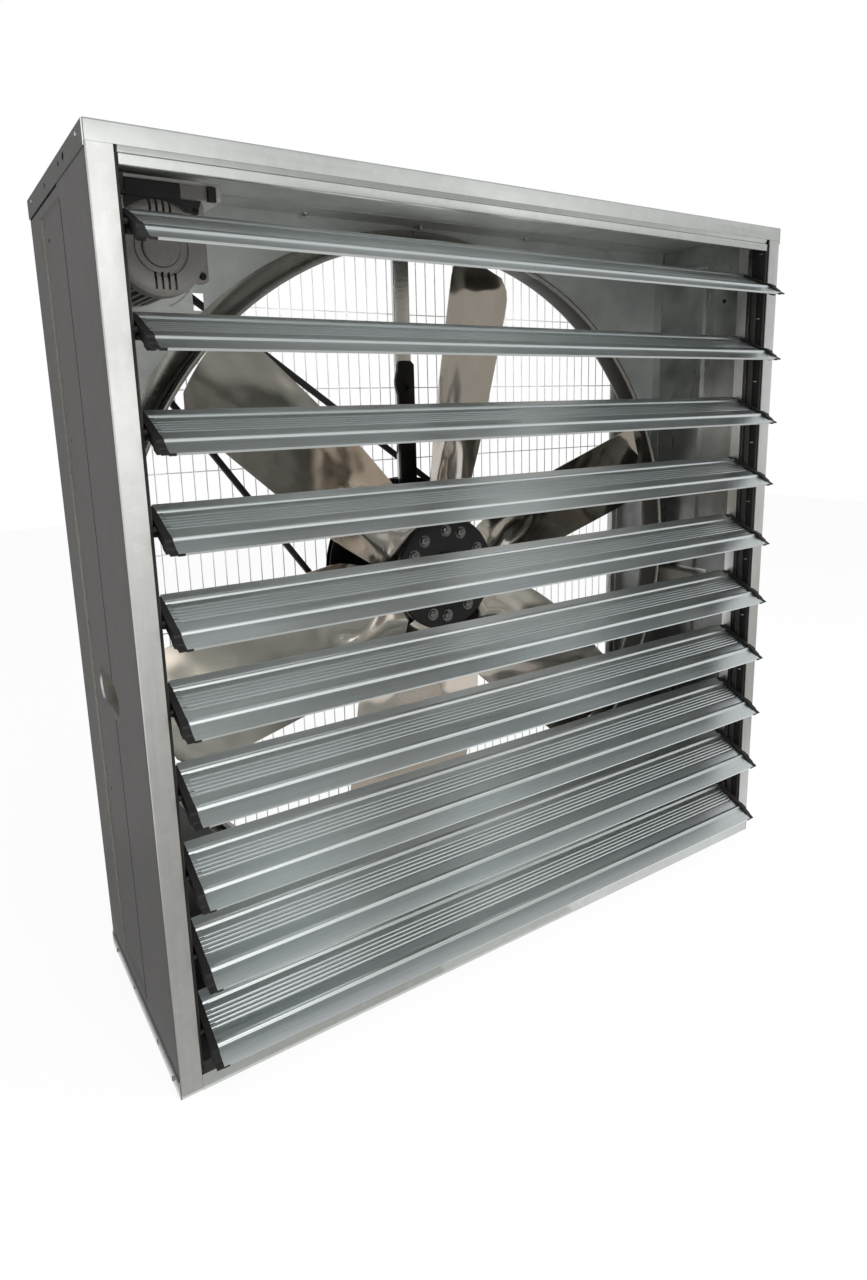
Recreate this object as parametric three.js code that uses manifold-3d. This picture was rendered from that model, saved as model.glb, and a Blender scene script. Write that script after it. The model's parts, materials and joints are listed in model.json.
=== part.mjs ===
// Belt-driven box exhaust fan with a ten-louvre shutter, in millimetres, +Z up.
// The origin is the middle of the casing's underside. The shutter faces -Y and the intake guard faces +Y.
import * as THREE from "three";
import { mergeVertices } from "three/addons/utils/BufferGeometryUtils.js";
import Module from "manifold-3d";

const wasm = await Module();
wasm.setup();

// Fits and counts shared by the whole fan
const SHEET = 1.2;
const SEAT_GAP = 0.3;
const PIN_GAP = 0.45;
const BORE_GAP = 0.6;
const CUT_OVERRUN = 4;
const WELD_DISTANCE = 1e-3;
const PIN_SIDES = 6;
const PIN_HOLE_SIDES = 8;
const ROUND_SIDES = 16;
const BORE_SIDES = 24;

// Casing
const CASE_WIDTH = 1380;
const CASE_HEIGHT = 1380;
const CASE_DEPTH = 450;
const TOP_FLANGE = 26;
const BOTTOM_FLANGE = 28;
const SIDE_FLANGE = 35;
const REAR_FLANGE = 35;
const CORNER_LAP = 32;
const FIELD_SETBACK = 187;
const FIELD_WIDTH = 165;
const FIELD_DEPTH = 3;
const FIELD_END_MARGIN = 48;
const HANDLE_SETBACK = 228;
const HANDLE_Z = 590;
const HANDLE_LENGTH = 150;
const HANDLE_WIDTH = 62;
const HANDLE_DEPTH = 24;

// Venturi plate with its bell
const PLATE_SETBACK = 119;
const PLATE_END_FLANGE = 60;
const PLATE_SIDE_FLANGE = 22;
const MOUTH_MARGIN = 15;
const BELL_FLARE = 29;
const BELL_DEPTH = 71;
const THROAT_LENGTH = 45;
const RIM_ROLL = 4;
const BELL_SIDES = 60;
const BELL_CURVE_STEPS = 3;

// Shutter
const LOUVRE_COUNT = 10;
const LOUVRE_EDGE_GAP = 6.4;
const LOUVRE_TILT = THREE.MathUtils.degToRad(25.7);
const LOUVRE_SHEET = 1.4;
const TOP_PIVOT_DROP = 112;
const BOTTOM_PIVOT_RISE = 94.4;
const PIVOT_SETBACK = 9.5;
const RIB_HEIGHT = 3.2;
const RIB_HALF_WIDTH = 7;
const GROOVE_DEPTH = 1;
const GROOVE_HALF_WIDTH = 3;
const CAP_OVERHANG = 2.4;
const CAP_WIDTH = 11;
const CAP_HEIGHT = 13;
const CAP_TIP_HEIGHT = 6;
const CAP_SETIN = 43;
const PIVOT_PIN_RADIUS = 4;
const CRANK_RADIUS = 16;
const CRANK_ANGLE = THREE.MathUtils.degToRad(-45);
const CRANK_PIN_RADIUS = 3;
const CRANK_LUG_RADIUS = 7;
const ROD_WIDTH = 10;
const ROD_THICKNESS = 3;
const ROD_SIDE_GAP = 1.5;
const ROD_END_MARGIN = 12;
const PIN_END_MARGIN = 2;
const STRIP_DEPTH = 35;
const STRIP_THICKNESS = 2;
const STRIP_END_MARGIN = 34;
const CHANNEL_DEPTH = 66;
const CHANNEL_REAR_LEG = 41;
const CHANNEL_FRONT_LEG = 31;
const CHANNEL_LIP = 8;
const RAIL_SETBACK = 7;
const RAIL_FOOT = 46;
const RAIL_DROP = 38;
const RAIL_BEAD_RADIUS = 6;
const BOTTOM_RAIL_RISE = 18;

// Rotor
const AXIS_Z = CASE_HEIGHT / 2;
const BLADE_COUNT = 6;
const FIRST_BLADE_ANGLE = THREE.MathUtils.degToRad(18);
const TIP_CLEARANCE = 11;
const BLADE_ROOT_RADIUS = 58;
const BLADE_CHORD = 210;
const BLADE_PITCH = THREE.MathUtils.degToRad(32);
const BLADE_SETBACK = 18;
const BLADE_CAMBER = 12;
const BLADE_SHEET = 2;
const BLADE_STEPS_ACROSS = 4;
const HUB_FORWARD = 69;
const HUB_RADIUS = 118;
const HUB_THICKNESS = 14;
const HUB_BOSS_RADIUS = 36;
const HUB_BOSS_LENGTH = 34;
const HUB_BOLT_CIRCLE = 90;
const HUB_BOLT_SPREAD = THREE.MathUtils.degToRad(12);
const HUB_BOLT_RADIUS = 9.8;
const HUB_BOLT_HEIGHT = 7;
const SHAFT_RADIUS = 15;
const SHAFT_NOSE = 8;
const SHAFT_TAIL = 2;

// Bearing and beam
const BEAM_SETBACK = 43.5;
const BEAM_WIDTH = 38;
const BEAM_SHEET = 2;
const BEAM_FOOT = 28;
const BEAM_HOLE_RADIUS = 16.5;
const HOUSING_WIDTH = 40;
const HOUSING_PLATE = 8;
const HOUSING_SPAN = 790;
const HOUSING_BOSS_RADIUS = 44;
const HOUSING_BOSS_LENGTH = 42;
const HOUSING_LOBE_RADIUS = 27;
const HOUSING_LOBE_SETIN = 42;

// Belt drive
const BELT_WIDTH = 13;
const BELT_HEIGHT = 11;
const BELT_SETBACK = 14;
const BELT_SIDE_GAP = 0.5;
const BELT_UNDER_GAP = 1.4;
const DRIVEN_PITCH_RADIUS = 185;
const DRIVE_PITCH_RADIUS = 58;
const PULLEY_LIP = 6;
const PULLEY_WALL = 3;
const PULLEY_WEB = 6;
const PULLEY_RIM = 9;
const PULLEY_BOSS_RADIUS = 32;
const PULLEY_BEAM_GAP = 3;
const DRIVEN_SIDES = 32;
const DRIVE_SIDES = 20;
const BELT_ARC_STEPS = 16;

// Motor
const MOTOR_SETIN = 118;
const MOTOR_DROP = 118;
const MOTOR_SETBACK = 120;
const MOTOR_RADIUS = 56;
const MOTOR_PLATE_GAP = 14;
const MOTOR_FIN_HEIGHT = 6;
const MOTOR_FIN_COUNT = 20;
const MOTOR_NOSE_RADIUS = 34;
const MOTOR_NOSE_LENGTH = 16;
const MOTOR_SHAFT_RADIUS = 12;
const MOTOR_SHAFT_HOLE_RADIUS = 20;
const MOTOR_FOOT_WIDTH = 88;
const MOTOR_FOOT_THICKNESS = 8;
const MOTOR_FOOT_SETBACK = 30;
const MOTOR_FOOT_REAR_SETBACK = 45;
const COVER_RADIUS = 67;
const COVER_DEPTH = 28;
const COVER_SQUARE = 134;
const COVER_SQUARE_DEPTH = 16;
const COVER_BOSS_RADIUS = 28;
const COVER_BOSS_HEIGHT = 5;
const COVER_SLOT_WIDTH = 5;
const COVER_SLOT_LENGTH = 20;
const COVER_SLOT_DEPTH = 8;
const COVER_SLOT_PITCH = 11;
const COVER_SLOT_COUNT = 4;
const TERMINAL_BOX_REACH = 92;
const TERMINAL_BOX_HEIGHT = 58;
const TERMINAL_BOX_LENGTH = 84;

// Motor hanger
const HANGER_SHEET = 4;
const HANGER_WIDTH = 136;
const HANGER_FLANGE_GAP = 10;
const HANGER_OFFSET = 24;
const HANGER_CLEARANCE = 2;
const HANGER_HEM = 23;
const HANGER_LEG_SETBACK = 79;
const HANGER_REAR_OVERHANG = 26;
const HANGER_LEG_FLANGE = 18;

// Intake guard
const GUARD_WIRE = 3;
const GUARD_WIRE_LAP = 0.2;
const GUARD_SETIN = 22;
const GUARD_BORDER = 12;
const GUARD_UPRIGHTS = 44;
const GUARD_ROWS = 4;

// Shares of the louvre's chord, from its inner edge, where its ribs and grooves lie
const ribShares = [0.158, 0.73];
const grooveShares = [0.344, 0.424, 0.505];
const ribShapeShares = [
  [-1, 0],
  [-0.5, 0.8],
  [0, 1],
  [0.5, 0.8],
  [1, 0],
];

// Shares of the blade's reach past the hub, and of its chord, pitch and set-back there
const tabEndShares = { chord: 0.22, pitch: 0, setback: 0 };
const bladeShares = [
  { reach: 0, chord: 0.4, pitch: 0, setback: 0 },
  { reach: 0.06, chord: 0.58, pitch: 0.55, setback: 0.4 },
  { reach: 0.16, chord: 0.8, pitch: 1, setback: 1 },
  { reach: 0.35, chord: 1, pitch: 0.97, setback: 1 },
  { reach: 0.58, chord: 0.98, pitch: 0.85, setback: 1 },
  { reach: 0.8, chord: 0.87, pitch: 0.72, setback: 1 },
  { reach: 0.93, chord: 0.77, pitch: 0.65, setback: 1 },
  { reach: 1, chord: 0.7, pitch: 0.62, setback: 1 },
];

// Shares of the end cap's length and height, round its outline
const capShares = [
  [-0.5, -0.5, "tip"],
  [-0.22, -0.5, "middle"],
  [0.22, -0.5, "middle"],
  [0.5, -0.5, "tip"],
  [0.5, 0.5, "tip"],
  [0.22, 0.5, "middle"],
  [-0.22, 0.5, "middle"],
  [-0.5, 0.5, "tip"],
];

// Places that follow from the sizes above
const frontY = -CASE_DEPTH / 2;
const rearY = CASE_DEPTH / 2;
const halfWidth = CASE_WIDTH / 2;
const panelOuterX = halfWidth - SHEET - SEAT_GAP;
const liningX = panelOuterX - SHEET - SEAT_GAP;
const floorZ = SHEET + SEAT_GAP;
const ceilingZ = CASE_HEIGHT - SHEET - SEAT_GAP;
const liningFrontY = frontY + SHEET + SEAT_GAP;
const mouthRadius = Math.min(CASE_WIDTH, CASE_HEIGHT) / 2 - MOUTH_MARGIN;
const throatRadius = mouthRadius - BELL_FLARE;
const plateY = rearY - PLATE_SETBACK;
const plateRearY = plateY + SHEET;
const plateHalfWidth = panelOuterX - FIELD_DEPTH - SHEET - SEAT_GAP;
const bellFrontY = plateY - BELL_DEPTH;
const pivotY = frontY + PIVOT_SETBACK;
const topPivotZ = CASE_HEIGHT - TOP_PIVOT_DROP;
const pivotStack = topPivotZ - BOTTOM_PIVOT_RISE;
const louvrePitch = pivotStack / (LOUVRE_COUNT - 1);
const louvreChord = louvrePitch - LOUVRE_EDGE_GAP;
const capLength = louvreChord + 2 * CAP_OVERHANG;
const capOuterX = liningX - CAP_SETIN;
const capInnerX = capOuterX - CAP_WIDTH;
const louvreEndX = capInnerX - SEAT_GAP;
const rodInnerX = capOuterX + ROD_SIDE_GAP;
const rodOuterX = rodInnerX + ROD_THICKNESS;
const stripInnerX = rodOuterX + ROD_SIDE_GAP;
const stripFrontY = liningFrontY + SHEET + SEAT_GAP;
const channelLipX = liningX - CHANNEL_REAR_LEG;
const railEndX = channelLipX - SEAT_GAP;
const hubFrontY = plateY - HUB_FORWARD;
const hubRearY = hubFrontY + HUB_THICKNESS;
const bladeTipRadius = throatRadius - TIP_CLEARANCE;
const beltRearY = rearY - BELT_SETBACK;
const beltFrontY = beltRearY - BELT_WIDTH;
const pulleyFrontY = beltFrontY - BELT_SIDE_GAP - PULLEY_WALL;
const pulleyRearY = beltRearY + BELT_SIDE_GAP + PULLEY_WALL;
const beamFrontY = rearY - BEAM_SETBACK;
const beamRearY = pulleyFrontY - PULLEY_BEAM_GAP;
const housingRearY = beamFrontY - SEAT_GAP;
const housingFrontY = housingRearY - HOUSING_PLATE;
const motorX = MOTOR_SETIN - halfWidth;
const motorZ = CASE_HEIGHT - MOTOR_DROP;
const coverFrontY = frontY + MOTOR_SETBACK;
const coverRearY = coverFrontY + COVER_DEPTH;
const motorFrontY = coverRearY + SEAT_GAP;
const motorRearY = plateY - MOTOR_PLATE_GAP - MOTOR_NOSE_LENGTH;
const hangerZ = motorZ + COVER_SQUARE / 2 + HANGER_CLEARANCE;
const hangerRearY = plateY - PLATE_END_FLANGE - HANGER_FLANGE_GAP;
const sides = [
  ["left", -1],
  ["right", 1],
];

// Finishes
const finish = (color, roughness, metalness) =>
  new THREE.MeshStandardMaterial({ color, roughness, metalness });
const galvanised = finish(0xb4bcba, 0.38, 0.85);
const louvreMetal = finish(0xa3afb2, 0.34, 0.9);
const stainless = finish(0xb9ada0, 0.16, 1);
const blackPlastic = finish(0x1b1a1a, 0.55, 0);
const blackPaint = finish(0x161616, 0.42, 0.2);
const motorGrey = finish(0x6e6a66, 0.5, 0.4);
const beltRubber = finish(0x1d1d1d, 0.8, 0);
const zincSteel = finish(0x9a9c9b, 0.3, 0.9);
const guardSteel = finish(0x4a4a4a, 0.5, 0.6);

// Solids and how they join
function solid(geometry) {
  const loose = geometry.index ? geometry.toNonIndexed() : geometry;
  const bare = new THREE.BufferGeometry();
  bare.setAttribute("position", loose.getAttribute("position"));
  const welded = mergeVertices(bare, WELD_DISTANCE);
  return new wasm.Manifold(
    new wasm.Mesh({
      numProp: 3,
      vertProperties: new Float32Array(welded.attributes.position.array),
      triVerts: new Uint32Array(welded.index.array),
    }),
  );
}

const join = (first, ...others) => others.reduce((whole, piece) => whole.add(piece), first);
const cut = (first, ...tools) => tools.reduce((whole, tool) => whole.subtract(tool), first);

function part(name, shape, material) {
  const { numProp, numVert, vertProperties, triVerts } = shape.getMesh();
  const positions = new Float32Array(numVert * 3);
  for (let i = 0; i < numVert; i++) {
    positions.set(vertProperties.subarray(i * numProp, i * numProp + 3), i * 3);
  }
  const geometry = new THREE.BufferGeometry();
  geometry.setAttribute("position", new THREE.BufferAttribute(positions, 3));
  geometry.setIndex(new THREE.BufferAttribute(new Uint32Array(triVerts), 1));
  geometry.computeVertexNormals();
  const mesh = new THREE.Mesh(geometry, material);
  mesh.name = name;
  return mesh;
}

// Prisms: an outline of [first, second] points, pushed along one axis
const span = (a, b) => [Math.min(a, b), Math.max(a, b)];
const outline = (points) => new THREE.Shape(points.map(([a, b]) => new THREE.Vector2(a, b)));
const pushed = (shape, depth) => new THREE.ExtrudeGeometry(shape, { depth, bevelEnabled: false });

// The points are y, z and the prism runs along X
function alongX(points, [from, to]) {
  const turn = new THREE.Matrix4().makeBasis(
    new THREE.Vector3(0, 1, 0),
    new THREE.Vector3(0, 0, 1),
    new THREE.Vector3(1, 0, 0),
  );
  return solid(pushed(outline(points), to - from).applyMatrix4(turn).translate(from, 0, 0));
}

// The shape is in x, z and the prism runs along Y
const alongY = (shape, [from, to]) =>
  solid(pushed(shape, to - from).rotateX(Math.PI / 2).translate(0, to, 0));

// The points are x, y and the prism runs along Z
const alongZ = (points, [from, to]) => solid(pushed(outline(points), to - from).translate(0, 0, from));

function block([x0, x1], [y0, y1], [z0, z1]) {
  const box = new THREE.BoxGeometry(x1 - x0, y1 - y0, z1 - z0);
  return solid(box.translate((x0 + x1) / 2, (y0 + y1) / 2, (z0 + z1) / 2));
}

function rodAlongX(radius, [from, to], y, z, count) {
  const rod = new THREE.CylinderGeometry(radius, radius, to - from, count);
  return solid(rod.rotateZ(Math.PI / 2).translate((from + to) / 2, y, z));
}

function rodAlongY(radius, [from, to], x, z, count) {
  const rod = new THREE.CylinderGeometry(radius, radius, to - from, count);
  return solid(rod.translate(x, (from + to) / 2, z));
}

// A closed profile of [radius, y] points turned about an axis along Y at x, z
function turned(points, count, x = 0, z = 0) {
  const profile = points.map(([radius, y]) => new THREE.Vector2(radius, y));
  if (THREE.ShapeUtils.isClockWise(profile)) {
    profile.reverse();
  }
  return solid(new THREE.LatheGeometry([...profile, profile[0]], count).translate(x, 0, z));
}

// A folded sheet: the line of its outer face, and a second line one thickness to the left of it
function folded(points, thickness) {
  const normals = points.slice(1).map(([a, b], i) => {
    const run = new THREE.Vector2(a - points[i][0], b - points[i][1]).normalize();
    return new THREE.Vector2(-run.y, run.x);
  });
  const inner = points.map(([a, b], i) => {
    const before = normals[Math.max(i - 1, 0)];
    const after = normals[Math.min(i, normals.length - 1)];
    const mitre = before.clone().add(after).normalize();
    const reach = thickness / mitre.dot(before);
    return [a + mitre.x * reach, b + mitre.y * reach];
  });
  return [...points, ...inner.reverse()];
}

function arcPoints([a, b], radius, from, to, steps) {
  return Array.from({ length: steps + 1 }, (_, i) => {
    const angle = from + ((to - from) * i) / steps;
    return [a + radius * Math.cos(angle), b + radius * Math.sin(angle)];
  });
}

// Casing: the top and bottom panels lap over the two side panels
function endPanelWeb(frontFlange, outerZ, inward) {
  const line = [
    [rearY, outerZ + inward * REAR_FLANGE],
    [rearY, outerZ],
    [frontY, outerZ],
    [frontY, outerZ + inward * frontFlange],
  ];
  const section = folded(inward < 0 ? line : line.reverse(), SHEET);
  return alongX(section, [-halfWidth, halfWidth]);
}

function cornerLaps(outerZ, inward) {
  const height = span(outerZ, outerZ + inward * CORNER_LAP);
  return sides.map(([, side]) =>
    block(span(side * halfWidth, side * (halfWidth - SHEET)), [frontY, rearY], height),
  );
}

function topPanel() {
  const web = endPanelWeb(TOP_FLANGE, CASE_HEIGHT, -1);
  return part("top_panel", join(web, ...cornerLaps(CASE_HEIGHT, -1)), galvanised);
}

// The bottom panel's front flange fits between the side panels' flanges
function bottomPanel() {
  const web = endPanelWeb(BOTTOM_FLANGE, 0, 1);
  const flangeEndX = halfWidth - SIDE_FLANGE - SEAT_GAP;
  const notches = sides.map(([, side]) =>
    block(
      span(side * flangeEndX, side * (halfWidth - SHEET)),
      [frontY - CUT_OVERRUN, liningFrontY],
      [SHEET, BOTTOM_FLANGE + CUT_OVERRUN],
    ),
  );
  return part("bottom_panel", join(cut(web, ...notches), ...cornerLaps(0, 1)), galvanised);
}

// The pressed field's section, widened by a spread at both edges and carried on past the panel's face
function fieldSection(side, depth, spread, past) {
  const fieldFrontY = frontY + FIELD_SETBACK - spread;
  const fieldRearY = frontY + FIELD_SETBACK + FIELD_WIDTH + spread;
  return [
    [side * (panelOuterX + past), fieldFrontY - past],
    [side * (panelOuterX + past), fieldRearY + past],
    [side * (panelOuterX - depth), fieldRearY - depth],
    [side * (panelOuterX - depth), fieldFrontY + depth],
  ];
}

// The hand-hold's oval, drawn in from its edge by an inset
function handleOval(inset) {
  const radius = HANDLE_WIDTH / 2 - inset;
  const reach = (HANDLE_LENGTH - HANDLE_WIDTH) / 2;
  const y = frontY + HANDLE_SETBACK;
  const quarter = Math.PI / 2;
  return [
    ...arcPoints([y + reach, HANDLE_Z], radius, -quarter, quarter, ROUND_SIDES / 2),
    ...arcPoints([y - reach, HANDLE_Z], radius, quarter, 3 * quarter, ROUND_SIDES / 2),
  ];
}

function sidePanelShell(side) {
  const line = [
    [side * (halfWidth - REAR_FLANGE), rearY],
    [side * panelOuterX, rearY],
    [side * panelOuterX, frontY],
    [side * (halfWidth - SIDE_FLANGE), frontY],
  ];
  const web = alongZ(folded(side < 0 ? line : line.reverse(), SHEET), [floorZ, ceilingZ]);
  const cornerX = span(side * halfWidth, side * (halfWidth - REAR_FLANGE - CUT_OVERRUN));
  const frontCorner = [frontY - CUT_OVERRUN, liningFrontY];
  const rearCorner = [rearY - SHEET - SEAT_GAP, rearY + CUT_OVERRUN];
  return cut(
    web,
    block(cornerX, frontCorner, [CASE_HEIGHT - TOP_FLANGE - SEAT_GAP, CASE_HEIGHT]),
    block(cornerX, rearCorner, [CASE_HEIGHT - REAR_FLANGE - SEAT_GAP, CASE_HEIGHT]),
    block(cornerX, rearCorner, [0, REAR_FLANGE + SEAT_GAP]),
  );
}

function sidePanel(name, side) {
  const fieldEnds = [FIELD_END_MARGIN, CASE_HEIGHT - FIELD_END_MARGIN];
  const backingEnds = [fieldEnds[0] - SHEET, fieldEnds[1] + SHEET];
  const backing = alongZ(fieldSection(side, FIELD_DEPTH + SHEET, SHEET * Math.SQRT2, 0), backingEnds);
  const recess = alongZ(fieldSection(side, FIELD_DEPTH, 0, CUT_OVERRUN), fieldEnds);
  const cupFloorX = side * (panelOuterX - HANDLE_DEPTH);
  const cup = alongX(handleOval(0), span(side * panelOuterX, cupFloorX));
  const gripReach = span(side * (panelOuterX + CUT_OVERRUN), cupFloorX + side * SHEET);
  const grip = alongX(handleOval(SHEET), gripReach);
  return part(name, cut(join(sidePanelShell(side), backing, cup), recess, grip), galvanised);
}

// Venturi plate: folded edges, and a bell drawn forward that ends in a short throat with a rolled rim
function bellShell() {
  const curveDepth = BELL_DEPTH - THROAT_LENGTH;
  const inner = Array.from({ length: BELL_CURVE_STEPS + 1 }, (_, i) => {
    const angle = ((Math.PI / 2) * i) / BELL_CURVE_STEPS;
    return [
      throatRadius + BELL_FLARE * (1 - Math.cos(angle)),
      plateRearY - curveDepth * (1 - Math.sin(angle)),
    ];
  });
  const outer = inner.map(([radius, y]) => [radius + SHEET, y - SHEET]);
  const rim = [
    [throatRadius + SHEET, bellFrontY + RIM_ROLL],
    [throatRadius + RIM_ROLL, bellFrontY + RIM_ROLL / 2],
    [throatRadius + RIM_ROLL / 2, bellFrontY],
    [throatRadius, bellFrontY + RIM_ROLL / 2],
  ];
  return turned([...outer.reverse(), ...rim, ...inner], BELL_SIDES, 0, AXIS_Z);
}

function venturiPlate() {
  const through = [plateY - CUT_OVERRUN, plateRearY + CUT_OVERRUN];
  const mouth = rodAlongY(mouthRadius, through, 0, AXIS_Z, BELL_SIDES);
  const shaftHole = rodAlongY(MOTOR_SHAFT_HOLE_RADIUS, through, motorX, motorZ, ROUND_SIDES);
  const width = [-plateHalfWidth, plateHalfWidth];
  const height = [floorZ, ceilingZ];
  const endFlangeY = [plateY - PLATE_END_FLANGE, plateRearY];
  const sideFlangeY = [plateY - PLATE_SIDE_FLANGE, plateRearY];
  const shape = join(
    cut(block(width, [plateY, plateRearY], height), mouth, shaftHole),
    block(width, endFlangeY, [ceilingZ - SHEET, ceilingZ]),
    block(width, endFlangeY, [floorZ, floorZ + SHEET]),
    block([-plateHalfWidth, SHEET - plateHalfWidth], sideFlangeY, height),
    block([plateHalfWidth - SHEET, plateHalfWidth], sideFlangeY, height),
    bellShell(),
  );
  return part("venturi_plate", shape, galvanised);
}

// Shutter frame: a rail across the top and the bottom, and a channel and a bearing strip down each side
function topRail() {
  const faceY = frontY + RAIL_SETBACK;
  const faceZ = ceilingZ - RAIL_DROP;
  const line = [
    [faceY + RAIL_FOOT, ceilingZ],
    [faceY, ceilingZ],
    [faceY, faceZ],
  ];
  const reach = [-railEndX, railEndX];
  const bead = rodAlongX(RAIL_BEAD_RADIUS, reach, faceY + RAIL_BEAD_RADIUS, faceZ, ROUND_SIDES);
  return part("shutter_top_rail", join(alongX(folded(line, SHEET), reach), bead), galvanised);
}

function bottomRail() {
  const faceY = frontY + RAIL_SETBACK;
  const line = [
    [faceY, floorZ + BOTTOM_RAIL_RISE],
    [faceY, floorZ],
    [faceY + RAIL_FOOT, floorZ],
  ];
  return part("shutter_bottom_rail", alongX(folded(line, SHEET), [-railEndX, railEndX]), galvanised);
}

function shutterChannel(name, side) {
  const backY = liningFrontY + CHANNEL_DEPTH;
  const line = [
    [side * (liningX - CHANNEL_FRONT_LEG), liningFrontY],
    [side * liningX, liningFrontY],
    [side * liningX, backY],
    [side * channelLipX, backY],
    [side * channelLipX, backY - CHANNEL_LIP],
  ];
  const section = folded(side > 0 ? line : line.reverse(), SHEET);
  return part(name, alongZ(section, [floorZ, ceilingZ]), galvanised);
}

const louvrePivotZ = (index) => topPivotZ - index * louvrePitch;

function bearingStrip(name, side) {
  const legEndX = liningX - SHEET - SEAT_GAP;
  const line = [
    [side * legEndX, stripFrontY + STRIP_DEPTH],
    [side * stripInnerX, stripFrontY + STRIP_DEPTH],
    [side * stripInnerX, stripFrontY],
    [side * legEndX, stripFrontY],
  ];
  const section = folded(side > 0 ? line : line.reverse(), STRIP_THICKNESS);
  const strip = alongZ(section, [floorZ + STRIP_END_MARGIN, ceilingZ - STRIP_END_MARGIN]);
  const through = span(
    side * (stripInnerX - CUT_OVERRUN),
    side * (stripInnerX + STRIP_THICKNESS + CUT_OVERRUN),
  );
  const holes = Array.from({ length: LOUVRE_COUNT }, (_, i) =>
    rodAlongX(PIVOT_PIN_RADIUS + PIN_GAP, through, pivotY, louvrePivotZ(i), PIN_HOLE_SIDES),
  );
  return part(name, cut(strip, ...holes), blackPlastic);
}

// Louvre: a pressed blade in its own frame, with the pivot as origin and +Y towards its inner edge
function louvreBlade(name) {
  const innerEdge = louvreChord / 2;
  const bend = (share, shape, reach, height) =>
    shape.map(([across, up]) => [innerEdge - share * louvreChord - across * reach, up * height]);
  const grooveShapeShares = ribShapeShares.filter(([across]) => across % 1 === 0);
  const upper = [
    [innerEdge, 0],
    ...bend(ribShares[0], ribShapeShares, RIB_HALF_WIDTH, RIB_HEIGHT),
    ...grooveShares.flatMap((share) => bend(share, grooveShapeShares, GROOVE_HALF_WIDTH, -GROOVE_DEPTH)),
    ...bend(ribShares[1], ribShapeShares, RIB_HALF_WIDTH, RIB_HEIGHT),
    [-innerEdge, 0],
  ];
  const lower = upper.map(([along, up]) => [along, up - LOUVRE_SHEET]).reverse();
  return part(name, alongX([...upper, ...lower], [-louvreEndX, louvreEndX]), louvreMetal);
}

// End cap: closes the blade's end, turns on the pivot pin and carries the crank stud of the link rod
function louvreCap(name, side) {
  const profile = capShares.map(([along, up, where]) => [
    along * capLength,
    up * (where === "tip" ? CAP_TIP_HEIGHT : CAP_HEIGHT),
  ]);
  const crankY = CRANK_RADIUS * Math.cos(CRANK_ANGLE);
  const crankZ = CRANK_RADIUS * Math.sin(CRANK_ANGLE);
  const body = span(side * capInnerX, side * capOuterX);
  const pinReach = span(side * capInnerX, side * (stripInnerX + STRIP_THICKNESS + PIN_END_MARGIN));
  const studReach = span(side * capInnerX, side * (rodOuterX + ROD_SIDE_GAP / 2));
  const shape = join(
    alongX(profile, body),
    rodAlongX(CRANK_LUG_RADIUS, body, crankY, crankZ, PIN_SIDES),
    rodAlongX(PIVOT_PIN_RADIUS, pinReach, 0, 0, PIN_SIDES),
    rodAlongX(CRANK_PIN_RADIUS, studReach, crankY, crankZ, PIN_SIDES),
  );
  return part(name, shape, blackPlastic);
}

function louvreGroup(index) {
  const number = String(index + 1).padStart(2, "0");
  const group = new THREE.Group();
  group.add(louvreBlade(`louvre_${number}`));
  sides.forEach(([label, side]) => group.add(louvreCap(`louvre_${number}_cap_${label}`, side)));
  group.position.set(0, pivotY, louvrePivotZ(index));
  group.rotation.x = LOUVRE_TILT;
  return group;
}

// Link rod: one bar per side that joins all the crank studs, drawn with the louvres at rest
function linkRod(name, side) {
  const crankRest = CRANK_ANGLE + LOUVRE_TILT;
  const y = pivotY + CRANK_RADIUS * Math.cos(crankRest);
  const topZ = topPivotZ + CRANK_RADIUS * Math.sin(crankRest);
  const reach = span(side * rodInnerX, side * rodOuterX);
  const bar = block(
    reach,
    [y - ROD_WIDTH / 2, y + ROD_WIDTH / 2],
    [topZ - pivotStack - ROD_END_MARGIN, topZ + ROD_END_MARGIN],
  );
  const through = [reach[0] - CUT_OVERRUN, reach[1] + CUT_OVERRUN];
  const holes = Array.from({ length: LOUVRE_COUNT }, (_, i) =>
    rodAlongX(CRANK_PIN_RADIUS + PIN_GAP, through, y, topZ - i * louvrePitch, PIN_HOLE_SIDES),
  );
  return part(name, cut(bar, ...holes), zincSteel);
}

// A thin closed shell between a front grid and a rear grid of points
function shellBetween(front, rear) {
  const rows = front.length;
  const columns = front[0].length;
  const triangles = [];
  const quad = (a, b, c, d) => triangles.push(a, b, c, a, c, d);
  for (let i = 0; i < rows - 1; i++) {
    for (let j = 0; j < columns - 1; j++) {
      quad(front[i][j], front[i + 1][j], front[i + 1][j + 1], front[i][j + 1]);
      quad(rear[i][j + 1], rear[i + 1][j + 1], rear[i + 1][j], rear[i][j]);
    }
    const last = columns - 1;
    quad(front[i + 1][0], front[i][0], rear[i][0], rear[i + 1][0]);
    quad(front[i][last], front[i + 1][last], rear[i + 1][last], rear[i][last]);
  }
  for (let j = 0; j < columns - 1; j++) {
    const tip = rows - 1;
    quad(front[tip][j + 1], front[tip][j], rear[tip][j], rear[tip][j + 1]);
    quad(front[0][j], front[0][j + 1], rear[0][j + 1], rear[0][j]);
  }
  return solid(new THREE.BufferGeometry().setFromPoints(triangles));
}

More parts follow.
